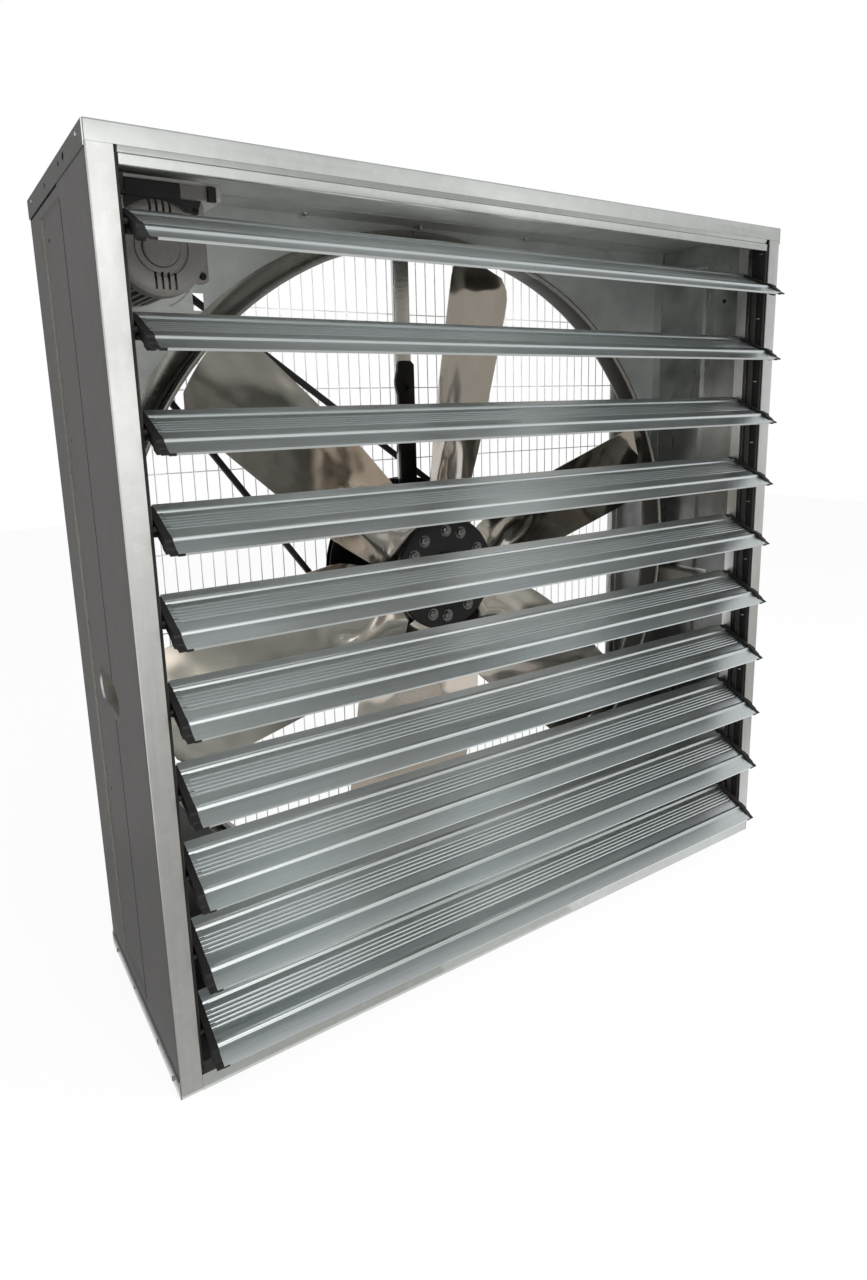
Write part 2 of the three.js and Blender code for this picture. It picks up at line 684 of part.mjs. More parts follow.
// Fan blade: a flat root tab under the hub, twisting into a pressed blade with a round tip
function fanBlade(name, angle) {
  const tabY = hubRearY + SEAT_GAP + BLADE_SHEET / 2;
  const innerRadius = HUB_RADIUS + BLADE_SHEET;
  const stations = bladeShares.map((shares) => ({
    ...shares,
    radius: innerRadius + shares.reach * (bladeTipRadius - innerRadius),
  }));
  stations.unshift({ ...tabEndShares, radius: BLADE_ROOT_RADIUS });
  const surface = (lift) =>
    stations.map(({ radius, chord, pitch, setback }) => {
      const width = chord * BLADE_CHORD;
      const slope = pitch * Math.tan(BLADE_PITCH);
      return Array.from({ length: BLADE_STEPS_ACROSS + 1 }, (_, j) => {
        const across = j / BLADE_STEPS_ACROSS - 0.5;
        const turn = (across * width) / radius;
        const camber = pitch * BLADE_CAMBER * (1 - 4 * across * across);
        const y = tabY + setback * BLADE_SETBACK - slope * across * width + camber + lift;
        return new THREE.Vector3(radius * Math.cos(turn), y, radius * Math.sin(turn));
      });
    });
  const blade = part(name, shellBetween(surface(-BLADE_SHEET / 2), surface(BLADE_SHEET / 2)), stainless);
  blade.rotation.y = -angle;
  return blade;
}

function fanHub() {
  const bore = SHAFT_RADIUS + SEAT_GAP;
  const disc = turned(
    [
      [bore, hubFrontY],
      [HUB_RADIUS, hubFrontY],
      [HUB_RADIUS, hubRearY],
      [HUB_BOSS_RADIUS, hubRearY],
      [HUB_BOSS_RADIUS, hubRearY + HUB_BOSS_LENGTH],
      [bore, hubRearY + HUB_BOSS_LENGTH],
    ],
    BORE_SIDES,
  );
  const bolts = bladeAngles.flatMap((blade) =>
    [-HUB_BOLT_SPREAD, HUB_BOLT_SPREAD].map((spread) =>
      rodAlongY(
        HUB_BOLT_RADIUS,
        [hubFrontY - HUB_BOLT_HEIGHT, hubFrontY + HUB_THICKNESS / 2],
        HUB_BOLT_CIRCLE * Math.cos(blade + spread),
        HUB_BOLT_CIRCLE * Math.sin(blade + spread),
        BLADE_COUNT,
      ),
    ),
  );
  return part("fan_hub", join(disc, ...bolts), blackPaint);
}

const bladeAngles = Array.from(
  { length: BLADE_COUNT },
  (_, i) => FIRST_BLADE_ANGLE + (i * 2 * Math.PI) / BLADE_COUNT,
);

function fanShaft() {
  const reach = [hubFrontY - SHAFT_NOSE, pulleyRearY + SHAFT_TAIL];
  return part("fan_shaft", rodAlongY(SHAFT_RADIUS, reach, 0, 0, ROUND_SIDES), zincSteel);
}

// The grooved rim of a pulley, from the bottom of its groove inwards by one rim thickness
function pulleyRim(pitchRadius, innerRadius) {
  const lip = pitchRadius + PULLEY_LIP;
  const core = pitchRadius - BELT_HEIGHT / 2 - BELT_UNDER_GAP;
  return [
    [innerRadius, pulleyFrontY],
    [lip, pulleyFrontY],
    [lip, pulleyFrontY + PULLEY_WALL],
    [core, pulleyFrontY + PULLEY_WALL],
    [core, pulleyRearY - PULLEY_WALL],
    [lip, pulleyRearY - PULLEY_WALL],
    [lip, pulleyRearY],
    [innerRadius, pulleyRearY],
  ];
}

function drivenPulley() {
  const bore = SHAFT_RADIUS + SEAT_GAP;
  const rimInner = DRIVEN_PITCH_RADIUS - BELT_HEIGHT / 2 - BELT_UNDER_GAP - PULLEY_RIM;
  const webFrontY = (pulleyFrontY + pulleyRearY - PULLEY_WEB) / 2;
  const webRearY = webFrontY + PULLEY_WEB;
  const profile = [
    [rimInner, webFrontY],
    ...pulleyRim(DRIVEN_PITCH_RADIUS, rimInner),
    [rimInner, webRearY],
    [PULLEY_BOSS_RADIUS, webRearY],
    [PULLEY_BOSS_RADIUS, pulleyRearY],
    [bore, pulleyRearY],
    [bore, pulleyFrontY],
    [PULLEY_BOSS_RADIUS, pulleyFrontY],
    [PULLEY_BOSS_RADIUS, webFrontY],
  ];
  return part("driven_pulley", turned(profile, DRIVEN_SIDES), blackPaint);
}

function rotor() {
  const group = new THREE.Group();
  bladeAngles.forEach((angle, i) => group.add(fanBlade(`fan_blade_${i + 1}`, angle)));
  group.add(fanHub(), fanShaft(), drivenPulley());
  group.position.z = AXIS_Z;
  return group;
}

// Bearing housing: a long black plate with two lobes, bolted to the beam, and the boss the shaft runs in
function bearingHousing() {
  const plate = block(
    [-HOUSING_WIDTH / 2, HOUSING_WIDTH / 2],
    [housingFrontY, housingRearY],
    [AXIS_Z - HOUSING_SPAN / 2, AXIS_Z + HOUSING_SPAN / 2],
  );
  const lobeReach = HOUSING_SPAN / 2 - HOUSING_LOBE_SETIN;
  const lobes = [-lobeReach, lobeReach].map((z) =>
    rodAlongY(HOUSING_LOBE_RADIUS, [housingFrontY, housingRearY], 0, AXIS_Z + z, ROUND_SIDES),
  );
  const bossReach = [housingFrontY - HOUSING_BOSS_LENGTH, housingRearY];
  const boss = rodAlongY(HOUSING_BOSS_RADIUS, bossReach, 0, AXIS_Z, BORE_SIDES);
  const boreReach = [bossReach[0] - CUT_OVERRUN, bossReach[1] + CUT_OVERRUN];
  const bore = rodAlongY(SHAFT_RADIUS + BORE_GAP, boreReach, 0, AXIS_Z, BORE_SIDES);
  return part("bearing_housing", cut(join(plate, ...lobes, boss), bore), blackPaint);
}

function supportBeam() {
  const halfBeam = BEAM_WIDTH / 2;
  const line = [
    [-halfBeam, beamRearY],
    [-halfBeam, beamFrontY],
    [halfBeam, beamFrontY],
    [halfBeam, beamRearY],
  ];
  const channel = alongZ(folded(line, BEAM_SHEET), [floorZ, ceilingZ]);
  const footY = [beamFrontY, beamFrontY + BEAM_FOOT];
  const feet = [
    block([-halfBeam, halfBeam], footY, [floorZ, floorZ + BEAM_SHEET]),
    block([-halfBeam, halfBeam], footY, [ceilingZ - BEAM_SHEET, ceilingZ]),
  ];
  const through = [beamFrontY - CUT_OVERRUN, beamRearY + CUT_OVERRUN];
  const hole = rodAlongY(BEAM_HOLE_RADIUS, through, 0, AXIS_Z, BORE_SIDES);
  return part("support_beam", cut(join(channel, ...feet), hole), galvanised);
}

// Belt drive
function driveBelt() {
  const reach = Math.hypot(motorX, motorZ - AXIS_Z);
  const lean = Math.atan2(motorZ - AXIS_Z, motorX);
  const wrap = Math.acos((DRIVEN_PITCH_RADIUS - DRIVE_PITCH_RADIUS) / reach);
  const loop = (lift) => [
    ...arcPoints(
      [0, AXIS_Z],
      DRIVEN_PITCH_RADIUS + lift,
      lean + wrap,
      lean - wrap + 2 * Math.PI,
      BELT_ARC_STEPS,
    ),
    ...arcPoints([motorX, motorZ], DRIVE_PITCH_RADIUS + lift, lean - wrap, lean + wrap, BELT_ARC_STEPS),
  ];
  const belt = outline(loop(BELT_HEIGHT / 2));
  belt.holes.push(outline(loop(-BELT_HEIGHT / 2)));
  return part("drive_belt", alongY(belt, [beltFrontY, beltRearY]), beltRubber);
}

function motorPulley() {
  const shaftY = [motorRearY + MOTOR_NOSE_LENGTH + SEAT_GAP, pulleyRearY];
  const shaft = rodAlongY(MOTOR_SHAFT_RADIUS, shaftY, motorX, motorZ, DRIVE_SIDES);
  const wheel = turned(
    pulleyRim(DRIVE_PITCH_RADIUS, MOTOR_SHAFT_RADIUS / 2),
    DRIVE_SIDES,
    motorX,
    motorZ,
  );
  return part("motor_pulley", join(wheel, shaft), blackPaint);
}

// Motor: a finned body with a foot on top and a terminal box, and a square-lugged end cover
function finnedOutline() {
  const pitch = (2 * Math.PI) / MOTOR_FIN_COUNT;
  const fins = Array.from({ length: MOTOR_FIN_COUNT }, (_, i) => i * pitch);
  const finShapeShares = [
    [-0.24, 0],
    [-0.14, 1],
    [0.14, 1],
    [0.24, 0],
  ];
  return fins.flatMap((angle) =>
    finShapeShares.map(([across, up]) => {
      const radius = MOTOR_RADIUS + up * MOTOR_FIN_HEIGHT;
      const turn = angle + across * pitch;
      return [motorX + radius * Math.cos(turn), motorZ + radius * Math.sin(turn)];
    }),
  );
}

function motorBody() {
  const noseY = [motorRearY - MOTOR_NOSE_LENGTH, motorRearY + MOTOR_NOSE_LENGTH];
  const foot = block(
    [motorX - MOTOR_FOOT_WIDTH / 2, motorX + MOTOR_FOOT_WIDTH / 2],
    [motorFrontY + MOTOR_FOOT_SETBACK, motorRearY - MOTOR_FOOT_REAR_SETBACK],
    [hangerZ - SEAT_GAP - MOTOR_FOOT_THICKNESS, hangerZ - SEAT_GAP],
  );
  const boxY = (motorFrontY + motorRearY - TERMINAL_BOX_LENGTH) / 2;
  const terminalBox = block(
    [motorX - TERMINAL_BOX_REACH, motorX - MOTOR_RADIUS / 2],
    [boxY, boxY + TERMINAL_BOX_LENGTH],
    [motorZ - TERMINAL_BOX_HEIGHT / 2, motorZ + TERMINAL_BOX_HEIGHT / 2],
  );
  const shape = join(
    alongY(outline(finnedOutline()), [motorFrontY, motorRearY]),
    rodAlongY(MOTOR_NOSE_RADIUS, noseY, motorX, motorZ, ROUND_SIDES),
    foot,
    terminalBox,
  );
  return part("motor_body", shape, motorGrey);
}

function coverSlots(faceY) {
  const slotReach = (COVER_BOSS_RADIUS + COVER_RADIUS) / 2;
  const firstX = motorX - ((COVER_SLOT_COUNT - 1) * COVER_SLOT_PITCH) / 2;
  return [-slotReach, slotReach].flatMap((z) =>
    Array.from({ length: COVER_SLOT_COUNT }, (_, i) => {
      const x = firstX + i * COVER_SLOT_PITCH;
      return block(
        [x - COVER_SLOT_WIDTH / 2, x + COVER_SLOT_WIDTH / 2],
        [faceY - CUT_OVERRUN, faceY + COVER_SLOT_DEPTH],
        [motorZ + z - COVER_SLOT_LENGTH / 2, motorZ + z + COVER_SLOT_LENGTH / 2],
      );
    }),
  );
}

function motorEndCover() {
  const faceY = coverFrontY + COVER_BOSS_HEIGHT;
  const half = COVER_SQUARE / 2;
  const square = block(
    [motorX - half, motorX + half],
    [coverRearY - COVER_SQUARE_DEPTH, coverRearY],
    [motorZ - half, motorZ + half],
  );
  const dome = rodAlongY(COVER_RADIUS, [faceY, coverRearY], motorX, motorZ, BORE_SIDES);
  const boss = rodAlongY(COVER_BOSS_RADIUS, [coverFrontY, coverRearY], motorX, motorZ, BORE_SIDES);
  return part("motor_end_cover", cut(join(dome, square, boss), ...coverSlots(faceY)), motorGrey);
}

// Motor hanger: a plate with a turned-up front hem, on two angle legs from the ceiling
function motorHanger() {
  const centreX = motorX + HANGER_OFFSET;
  const width = [centreX - HANGER_WIDTH / 2, centreX + HANGER_WIDTH / 2];
  const plateTopZ = hangerZ + HANGER_SHEET;
  const plate = block(width, [coverFrontY, hangerRearY], [hangerZ, plateTopZ]);
  const hem = block(width, [coverFrontY, coverFrontY + HANGER_SHEET], [hangerZ, hangerZ + HANGER_HEM]);
  const legRears = [coverFrontY + HANGER_LEG_SETBACK, hangerRearY - HANGER_REAR_OVERHANG];
  const legs = legRears.map((legRearY) =>
    join(
      block(width, [legRearY - HANGER_SHEET, legRearY], [hangerZ, ceilingZ]),
      block(width, [legRearY - HANGER_LEG_FLANGE, legRearY], [ceilingZ - HANGER_SHEET, ceilingZ]),
    ),
  );
  return part("motor_bracket", join(plate, hem, ...legs), galvanised);
}

// Intake guard: a welded wire net in a flat border, behind the casing's rear flanges
function rearGuard() {
  const backY = rearY - SHEET - SEAT_GAP;
  const uprightY = [backY - GUARD_WIRE, backY];
  const rowY = [backY - 2 * GUARD_WIRE + GUARD_WIRE_LAP, backY - GUARD_WIRE + GUARD_WIRE_LAP];
  const halfSpans = [halfWidth - GUARD_SETIN, AXIS_Z - GUARD_SETIN];
  const field = (inset, reachY) => {
    const [reachX, reachZ] = halfSpans.map((half) => half - inset);
    return block([-reachX, reachX], reachY, [AXIS_Z - reachZ, AXIS_Z + reachZ]);
  };
  const throughY = [uprightY[0] - CUT_OVERRUN, uprightY[1] + CUT_OVERRUN];
  const border = cut(field(0, uprightY), field(GUARD_BORDER, throughY));
  const [innerX, innerZ] = halfSpans.map((half) => half - GUARD_BORDER);
  const [lappedX, lappedZ] = halfSpans.map((half) => half - GUARD_BORDER / 2);
  const places = (inner, count) =>
    Array.from({ length: count }, (_, i) => (2 * inner * (i + 1)) / (count + 1) - inner);
  const uprights = places(innerX, GUARD_UPRIGHTS).map((x) =>
    block([x - GUARD_WIRE / 2, x + GUARD_WIRE / 2], uprightY, [AXIS_Z - lappedZ, AXIS_Z + lappedZ]),
  );
  const rows = places(innerZ, GUARD_ROWS).map((z) =>
    block([-lappedX, lappedX], rowY, [AXIS_Z + z - GUARD_WIRE / 2, AXIS_Z + z + GUARD_WIRE / 2]),
  );
  return part("rear_guard", join(border, ...uprights, ...rows), guardSteel);
}

const fan = new THREE.Group();
fan.add(topPanel(), bottomPanel(), venturiPlate(), topRail(), bottomRail());
sides.forEach(([label, side]) => {
  fan.add(sidePanel(`${label}_panel`, side));
  fan.add(shutterChannel(`shutter_channel_${label}`, side));
  fan.add(bearingStrip(`bearing_strip_${label}`, side));
  fan.add(linkRod(`link_rod_${label}`, side));
});
for (let index = 0; index < LOUVRE_COUNT; index++) {
  fan.add(louvreGroup(index));
}
fan.add(rotor(), bearingHousing(), supportBeam());
fan.add(driveBelt(), motorPulley(), motorBody(), motorEndCover(), motorHanger(), rearGuard());

export default fan;
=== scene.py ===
"""Looks of a belt-driven box exhaust fan with a ten-louvre shutter.

Sizes are in millimetres in the row frame: the origin is the middle of the casing's underside, +Z is up
and the shutter faces -Y. Every mesh is scaled to metres when it is built.
"""

import json
import logging
import math
from collections.abc import Callable, Iterable, Sequence
from dataclasses import dataclass
from enum import Enum

import bmesh
import bpy
from mathutils import Matrix, Vector


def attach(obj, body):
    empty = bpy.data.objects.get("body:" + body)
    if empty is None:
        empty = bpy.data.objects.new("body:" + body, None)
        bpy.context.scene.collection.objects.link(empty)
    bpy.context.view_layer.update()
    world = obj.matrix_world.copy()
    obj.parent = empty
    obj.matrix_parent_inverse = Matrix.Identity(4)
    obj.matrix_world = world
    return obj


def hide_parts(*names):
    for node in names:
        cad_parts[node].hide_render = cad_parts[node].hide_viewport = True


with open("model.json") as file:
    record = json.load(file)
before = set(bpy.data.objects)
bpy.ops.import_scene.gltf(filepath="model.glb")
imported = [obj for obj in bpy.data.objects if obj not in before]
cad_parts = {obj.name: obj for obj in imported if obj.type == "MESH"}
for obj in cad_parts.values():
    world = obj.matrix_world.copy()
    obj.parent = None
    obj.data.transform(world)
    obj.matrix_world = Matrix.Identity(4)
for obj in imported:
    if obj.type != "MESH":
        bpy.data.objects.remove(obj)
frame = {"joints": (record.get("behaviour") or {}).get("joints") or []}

LOG = logging.getLogger("exhaust_fan")
MM = 0.001
# Points of a mesh that are closer than this, in millimetres, become one.
MERGE_DISTANCE = 1e-3

Pair = tuple[float, float]
Triple = tuple[float, float, float]
Colour = Triple
Tree = bpy.types.NodeTree
Socket = bpy.types.NodeSocket


class Axis(Enum):
    """The direction in which a section is pushed."""

    X = "x"
    Y = "y"
    Z = "z"

    def place(self, first: float, second: float, along: float) -> Vector:
        """Puts a section's point at a distance along the axis.

        Args:
            first: The first of the section's two values.
            second: The second of them.
            along: The distance along the axis.

        Returns:
            The point.
        """
        if self is Axis.X:
            return Vector((along, first, second))
        if self is Axis.Y:
            return Vector((first, along, second))
        return Vector((first, second, along))


class Side(Enum):
    """A side of the casing, seen from the shutter."""

    LEFT = -1
    RIGHT = 1

    @property
    def label(self) -> str:
        """The side's name in lower case."""
        return self.name.lower()


class Body(Enum):
    """The fixed and the turning bodies of the frame."""

    CASING = "casing"
    ROTOR = "rotor"
    MOTOR = "motor_rotor"


# Finishes


@dataclass(frozen=True)
class Finish:
    """A surface finish made from procedural nodes.

    Grain is the noise's stretch per metre on each axis, shares are fractions of the colour or roughness,
    and relief and waviness are depths in millimetres. The second colour is mixed in by wide patches: wear
    on most finishes, and painted dark reflections on the side walls' inner faces. Between the two heights
    of the painted shade, in metres, the colour darkens downwards to the share set as the shade's floor:
    this darkening is painted shade. The spans are the stretches of a noise between which the roughness,
    the patches of wear and shade and the grain change, and detail is a noise's number of octaves.
    """

    name: str
    slot: str
    colour: Colour
    wear_and_shade: Colour
    roughness: float
    metallic: float = 1.0
    grain: Triple = (90.0, 90.0, 90.0)
    grain_share: float = 0.08
    patch_scale: float = 4.0
    patch_share: float = 0.5
    roughness_spread: float = 0.08
    relief: float = 0.03
    waviness: float = 0.0
    wave_scale: float = 7.0
    spangle_scale: float = 0.0
    coat: float = 0.0
    specular: float = 0.5
    painted_shade_heights: Pair = (0.0, 0.0)
    painted_shade_floor: float = 0.3
    least_roughness: float = 0.02
    noise_roughness: float = 0.6
    grain_detail: float = 5.0
    patch_detail: float = 3.0
    wave_detail: float = 1.0
    roughness_span: Pair = (0.3, 0.7)
    wear_and_shade_span: Pair = (0.35, 0.7)
    grain_span: Pair = (0.25, 0.75)
    spangle_shades: Pair = (0.96, 1.04)

    def material(self) -> bpy.types.Material:
        """Makes the finish's material on first use.

        Returns:
            The material, new or known.
        """
        known = bpy.data.materials.get(self.name)
        if known:
            return known
        made = bpy.data.materials.new(self.name)
        made.use_nodes = True
        made.diffuse_color = (*self.colour, 1.0)
        tree = made.node_tree
        tree.nodes.clear()
        output = tree.nodes.new("ShaderNodeOutputMaterial")
        shader = tree.nodes.new("ShaderNodeBsdfPrincipled")
        shader.inputs["Metallic"].default_value = self.metallic
        shader.inputs["Coat Weight"].default_value = self.coat
        shader.inputs["Specular IOR Level"].default_value = self.specular
        tree.links.new(shader.outputs["BSDF"], output.inputs["Surface"])
        place = tree.nodes.new("ShaderNodeTexCoord").outputs["Object"]
        fine = self._grain(tree, place)
        patch = self._noise(tree, place, self.patch_scale, self.patch_detail)
        tree.links.new(self._colour(tree, place, fine, patch), shader.inputs["Base Color"])
        blend = self._spread(tree, fine, patch)
        low = max(self.roughness - self.roughness_spread, self.least_roughness)
        high = self.roughness + self.roughness_spread
        tree.links.new(self._range(tree, blend, self.roughness_span, (low, high)), shader.inputs["Roughness"])
        tree.links.new(self._relief(tree, place, fine), shader.inputs["Normal"])
        return made

    def _grain(self, tree: Tree, place: Socket) -> Socket:
        """Makes the fine noise that is stretched along the sheet's rolling direction.

        Args:
            tree: The material's nodes.
            place: The coordinates.

        Returns:
            The noise's value.
        """
        stretch = tree.nodes.new("ShaderNodeMapping")
        stretch.inputs["Scale"].default_value = self.grain
        tree.links.new(place, stretch.inputs["Vector"])
        return self._noise(tree, stretch.outputs["Vector"], 1.0, self.grain_detail)

    def _noise(self, tree: Tree, place: Socket, scale: float, detail: float) -> Socket:
        """Makes a noise.

        Args:
            tree: The material's nodes.
            place: The coordinates.
            scale: The noise's scale.
            detail: Its number of octaves.

        Returns:
            The noise's value.
        """
        noise = tree.nodes.new("ShaderNodeTexNoise")
        noise.inputs["Scale"].default_value = scale
        noise.inputs["Detail"].default_value = detail
        noise.inputs["Roughness"].default_value = self.noise_roughness
        tree.links.new(place, noise.inputs["Vector"])
        return noise.outputs["Fac"]

    @staticmethod
    def _range(tree: Tree, value: Socket, source: Pair, target: Pair) -> Socket:
        """Maps a value from one range to another.

        Args:
            tree: The material's nodes.
            value: The value.
            source: The range it comes from.
            target: The range it goes to.

        Returns:
            The mapped value.
        """
        node = tree.nodes.new("ShaderNodeMapRange")
        for socket, number in zip(node.inputs[1:5], (*source, *target)):
            socket.default_value = number
        tree.links.new(value, node.inputs[0])
        return node.outputs["Result"]

    @staticmethod
    def _spread(tree: Tree, fine: Socket, patch: Socket) -> Socket:
        """Averages the fine and the wide noise.

        Args:
            tree: The material's nodes.
            fine: The fine noise.
            patch: The wide noise.

        Returns:
            Their average.
        """
        node = tree.nodes.new("ShaderNodeMix")
        tree.links.new(fine, node.inputs[2])
        tree.links.new(patch, node.inputs[3])
        return node.outputs[0]

    def _colour(self, tree: Tree, place: Socket, fine: Socket, patch: Socket) -> Socket:
        """Makes the colour: clean and darker patches, shaded by the grain, the zinc's spangle and a painted
        shade that darkens it towards the bottom. The darker patches are wear, and on the side walls' inner
        faces painted reflections.

        Args:
            tree: The material's nodes.
            place: The coordinates.
            fine: The fine noise.
            patch: The wide noise.

        Returns:
            The colour.
        """
        mix = tree.nodes.new("ShaderNodeMix")
        mix.data_type = "RGBA"
        mix.inputs[6].default_value = (*self.colour, 1.0)
        mix.inputs[7].default_value = (*self.wear_and_shade, 1.0)
        tree.links.new(self._range(tree, patch, self.wear_and_shade_span, (0.0, self.patch_share)), mix.inputs[0])
        colour = mix.outputs[2]
        shades = [self._range(tree, fine, self.grain_span, (1 - self.grain_share, 1 + self.grain_share))]
        if self.spangle_scale:
            cells = tree.nodes.new("ShaderNodeTexVoronoi")
            cells.inputs["Scale"].default_value = self.spangle_scale
            tree.links.new(place, cells.inputs["Vector"])
            shades.append(self._range(tree, cells.outputs["Color"], (0.0, 1.0), self.spangle_shades))
        # Painted shade: the colour darkens towards the bottom between two heights.
        if any(self.painted_shade_heights):
            height = tree.nodes.new("ShaderNodeSeparateXYZ")
            tree.links.new(place, height.inputs[0])
            shades.append(self._range(tree, height.outputs["Z"], self.painted_shade_heights, (self.painted_shade_floor, 1.0)))
        for shade in shades:
            scaled = tree.nodes.new("ShaderNodeVectorMath")
            scaled.operation = "SCALE"
            tree.links.new(colour, scaled.inputs[0])
            tree.links.new(shade, scaled.inputs["Scale"])
            colour = scaled.outputs[0]
        return colour

    def _relief(self, tree: Tree, place: Socket, fine: Socket) -> Socket:
        """Makes the normal: the grain's relief over the sheet's slow waviness.

        Args:
            tree: The material's nodes.
            place: The coordinates.
            fine: The fine noise.

        Returns:
            The normal.
        """
        bump = tree.nodes.new("ShaderNodeBump")
        bump.inputs["Distance"].default_value = self.relief * MM
        tree.links.new(fine, bump.inputs["Height"])
        if self.waviness:
            wave = tree.nodes.new("ShaderNodeBump")
            wave.inputs["Distance"].default_value = self.waviness * MM
            slow = self._noise(tree, place, self.wave_scale, self.wave_detail)
            tree.links.new(slow, wave.inputs["Height"])
            tree.links.new(wave.outputs["Normal"], bump.inputs["Normal"])
        return bump.outputs["Normal"]


UPRIGHT_SHEET = Finish(
    "galvanised_upright", "galvanised", (0.59, 0.595, 0.585), (0.5, 0.5, 0.49), 0.33,
    grain=(160.0, 160.0, 5.0), grain_share=0.05, spangle_scale=70.0, waviness=0.5, wave_scale=3.0,
)
LEVEL_SHEET = Finish(
    "galvanised_level", "galvanised", (0.58, 0.6, 0.585), (0.5, 0.515, 0.5), 0.3,
    grain=(5.0, 160.0, 160.0), grain_share=0.05, spangle_scale=70.0, waviness=0.5, wave_scale=3.0,
)
# Duller sheet of the inside: its colour darkens towards the bottom as painted shade.
DULL_PAINTED_SHADE_SHEET = Finish(
    "galvanised_dull_painted_shade", "galvanised", (0.44, 0.455, 0.44), (0.24, 0.247, 0.236), 0.4,
    metallic=0.65, grain=(40.0, 40.0, 40.0), grain_share=0.05, patch_share=0.8, spangle_scale=60.0,
    waviness=0.8, wave_scale=4.0, painted_shade_heights=(0.3, 1.05),
)
# Inner faces of the side walls: the near-black patches, streaked upright by the grain, are painted dark
# reflections, and the colour darkens towards the bottom as painted shade.
WALL_PAINTED_REFLECTION_SHEET = Finish(
    "galvanised_wall_painted_reflection", "galvanised", (0.46, 0.475, 0.46), (0.05, 0.052, 0.048), 0.3,
    metallic=0.7, grain=(40.0, 40.0, 4.0), grain_share=0.1, patch_scale=4.5, patch_share=0.95,
    waviness=0.8, wave_scale=4.0, painted_shade_heights=(0.3, 1.05),
)
BELL_SHEET = Finish(
    "galvanised_bell", "galvanised", (0.27, 0.264, 0.238), (0.2, 0.196, 0.174), 0.26,
    grain=(60.0, 8.0, 60.0), grain_share=0.06, patch_share=0.25, waviness=0.8, wave_scale=4.0,
)
# Painted shade: the near-black colour of the bell's inner faces, which lie in shade inside the throat.
THROAT_PAINTED_SHADE = Finish(
    "galvanised_throat_painted_shade", "galvanised", (0.028, 0.026, 0.022), (0.02, 0.019, 0.016), 0.36,
    grain=(60.0, 8.0, 60.0), grain_share=0.1, patch_share=0.3, waviness=0.8, wave_scale=4.0,
)
LOUVRE_SHEET = Finish(
    "louvre_rolled", "louvre_metal", (0.74, 0.785, 0.79), (0.67, 0.7, 0.7), 0.33,
    grain=(3.0, 260.0, 260.0), grain_share=0.08, patch_scale=2.5, relief=0.03,
)
# The blades' warm brown tint is painted reflection of warm surroundings.
POLISHED_PAINTED_REFLECTION = Finish(
    "stainless_polished", "stainless", (0.6, 0.545, 0.48), (0.43, 0.38, 0.325), 0.14,
    grain=(30.0, 30.0, 30.0), grain_share=0.05, waviness=7.0, wave_scale=9.0, roughness_spread=0.05,
)
CAP_PLASTIC = Finish(
    "black_moulded", "black_plastic", (0.009, 0.0085, 0.0085), (0.022, 0.02, 0.0195), 0.5,
    metallic=0.0, grain=(900.0, 900.0, 900.0), grain_share=0.2, relief=0.08, specular=0.2,
)
BLACK_ENAMEL = Finish(
    "black_enamel", "black_paint", (0.004, 0.004, 0.0045), (0.01, 0.0095, 0.009), 0.22,
    metallic=0.0, grain=(220.0, 220.0, 220.0), grain_share=0.2, coat=0.1, relief=0.06, specular=0.2,
)
MOTOR_ENAMEL = Finish(
    "motor_enamel", "motor_paint", (0.14, 0.132, 0.12), (0.185, 0.176, 0.163), 0.42,
    metallic=0.2, grain=(240.0, 240.0, 240.0), grain_share=0.12, relief=0.15,
)
HANGER_SHEET = Finish(
    "hanger_zinc", "galvanised", (0.42, 0.42, 0.4), (0.32, 0.32, 0.3), 0.4,
    metallic=0.4, grain=(6.0, 160.0, 160.0), grain_share=0.08, spangle_scale=60.0,
)
BELT_RUBBER = Finish(
    "belt_rubber_ribbed", "belt_rubber", (0.012, 0.012, 0.012), (0.028, 0.027, 0.026), 0.7,
    metallic=0.0, grain=(400.0, 400.0, 400.0), grain_share=0.25, relief=0.2, specular=0.3,
)
ZINC = Finish(
    "zinc_plated", "zinc_steel", (0.56, 0.57, 0.57), (0.42, 0.42, 0.4), 0.26,
    grain=(300.0, 300.0, 300.0), grain_share=0.1,
)
GUARD_WIRE = Finish(
    "guard_wire_drawn", "guard_steel", (0.95, 0.95, 0.95), (0.88, 0.88, 0.88), 0.35,
    metallic=0.0, grain=(400.0, 400.0, 40.0), grain_share=0.08,
)
ROD_STEEL = Finish(
    "rod_blackened", "zinc_steel", (0.045, 0.043, 0.04), (0.09, 0.086, 0.08), 0.42,
    metallic=0.7, grain=(300.0, 300.0, 20.0), grain_share=0.15,
)
BOLT_STEEL = Finish(
    "bolt_oiled", "zinc_steel", (0.2, 0.195, 0.19), (0.12, 0.118, 0.114), 0.14,
    grain=(300.0, 300.0, 300.0), grain_share=0.1, roughness_spread=0.04,
)
# Painted shade: a dark, non-metallic colour for the hand-hold's recess and the rear crease of the pressed
# field.
PRESSING_PAINTED_SHADE = Finish(
    "hand_hold_painted_shade", "galvanised", (0.2, 0.19, 0.16), (0.13, 0.123, 0.105), 0.55,
    metallic=0.1, grain=(80.0, 80.0, 80.0), grain_share=0.1,
)
HOLE_SHADOW = Finish(
    "punched_hole_shadow", "black_paint", (0.006, 0.006, 0.006), (0.012, 0.012, 0.011), 0.8,
    metallic=0.0, grain=(500.0, 500.0, 500.0), grain_share=0.3, specular=0.1,
)


# Sections and meshes


def arc(centre: Pair, radius: float, start: float, end: float, steps: int) -> list[Pair]:
    """Returns points on an arc, with its angles in degrees."""
    angles = (math.radians(start + (end - start) * i / steps) for i in range(steps + 1))
    return [(centre[0] + radius * math.cos(a), centre[1] + radius * math.sin(a)) for a in angles]


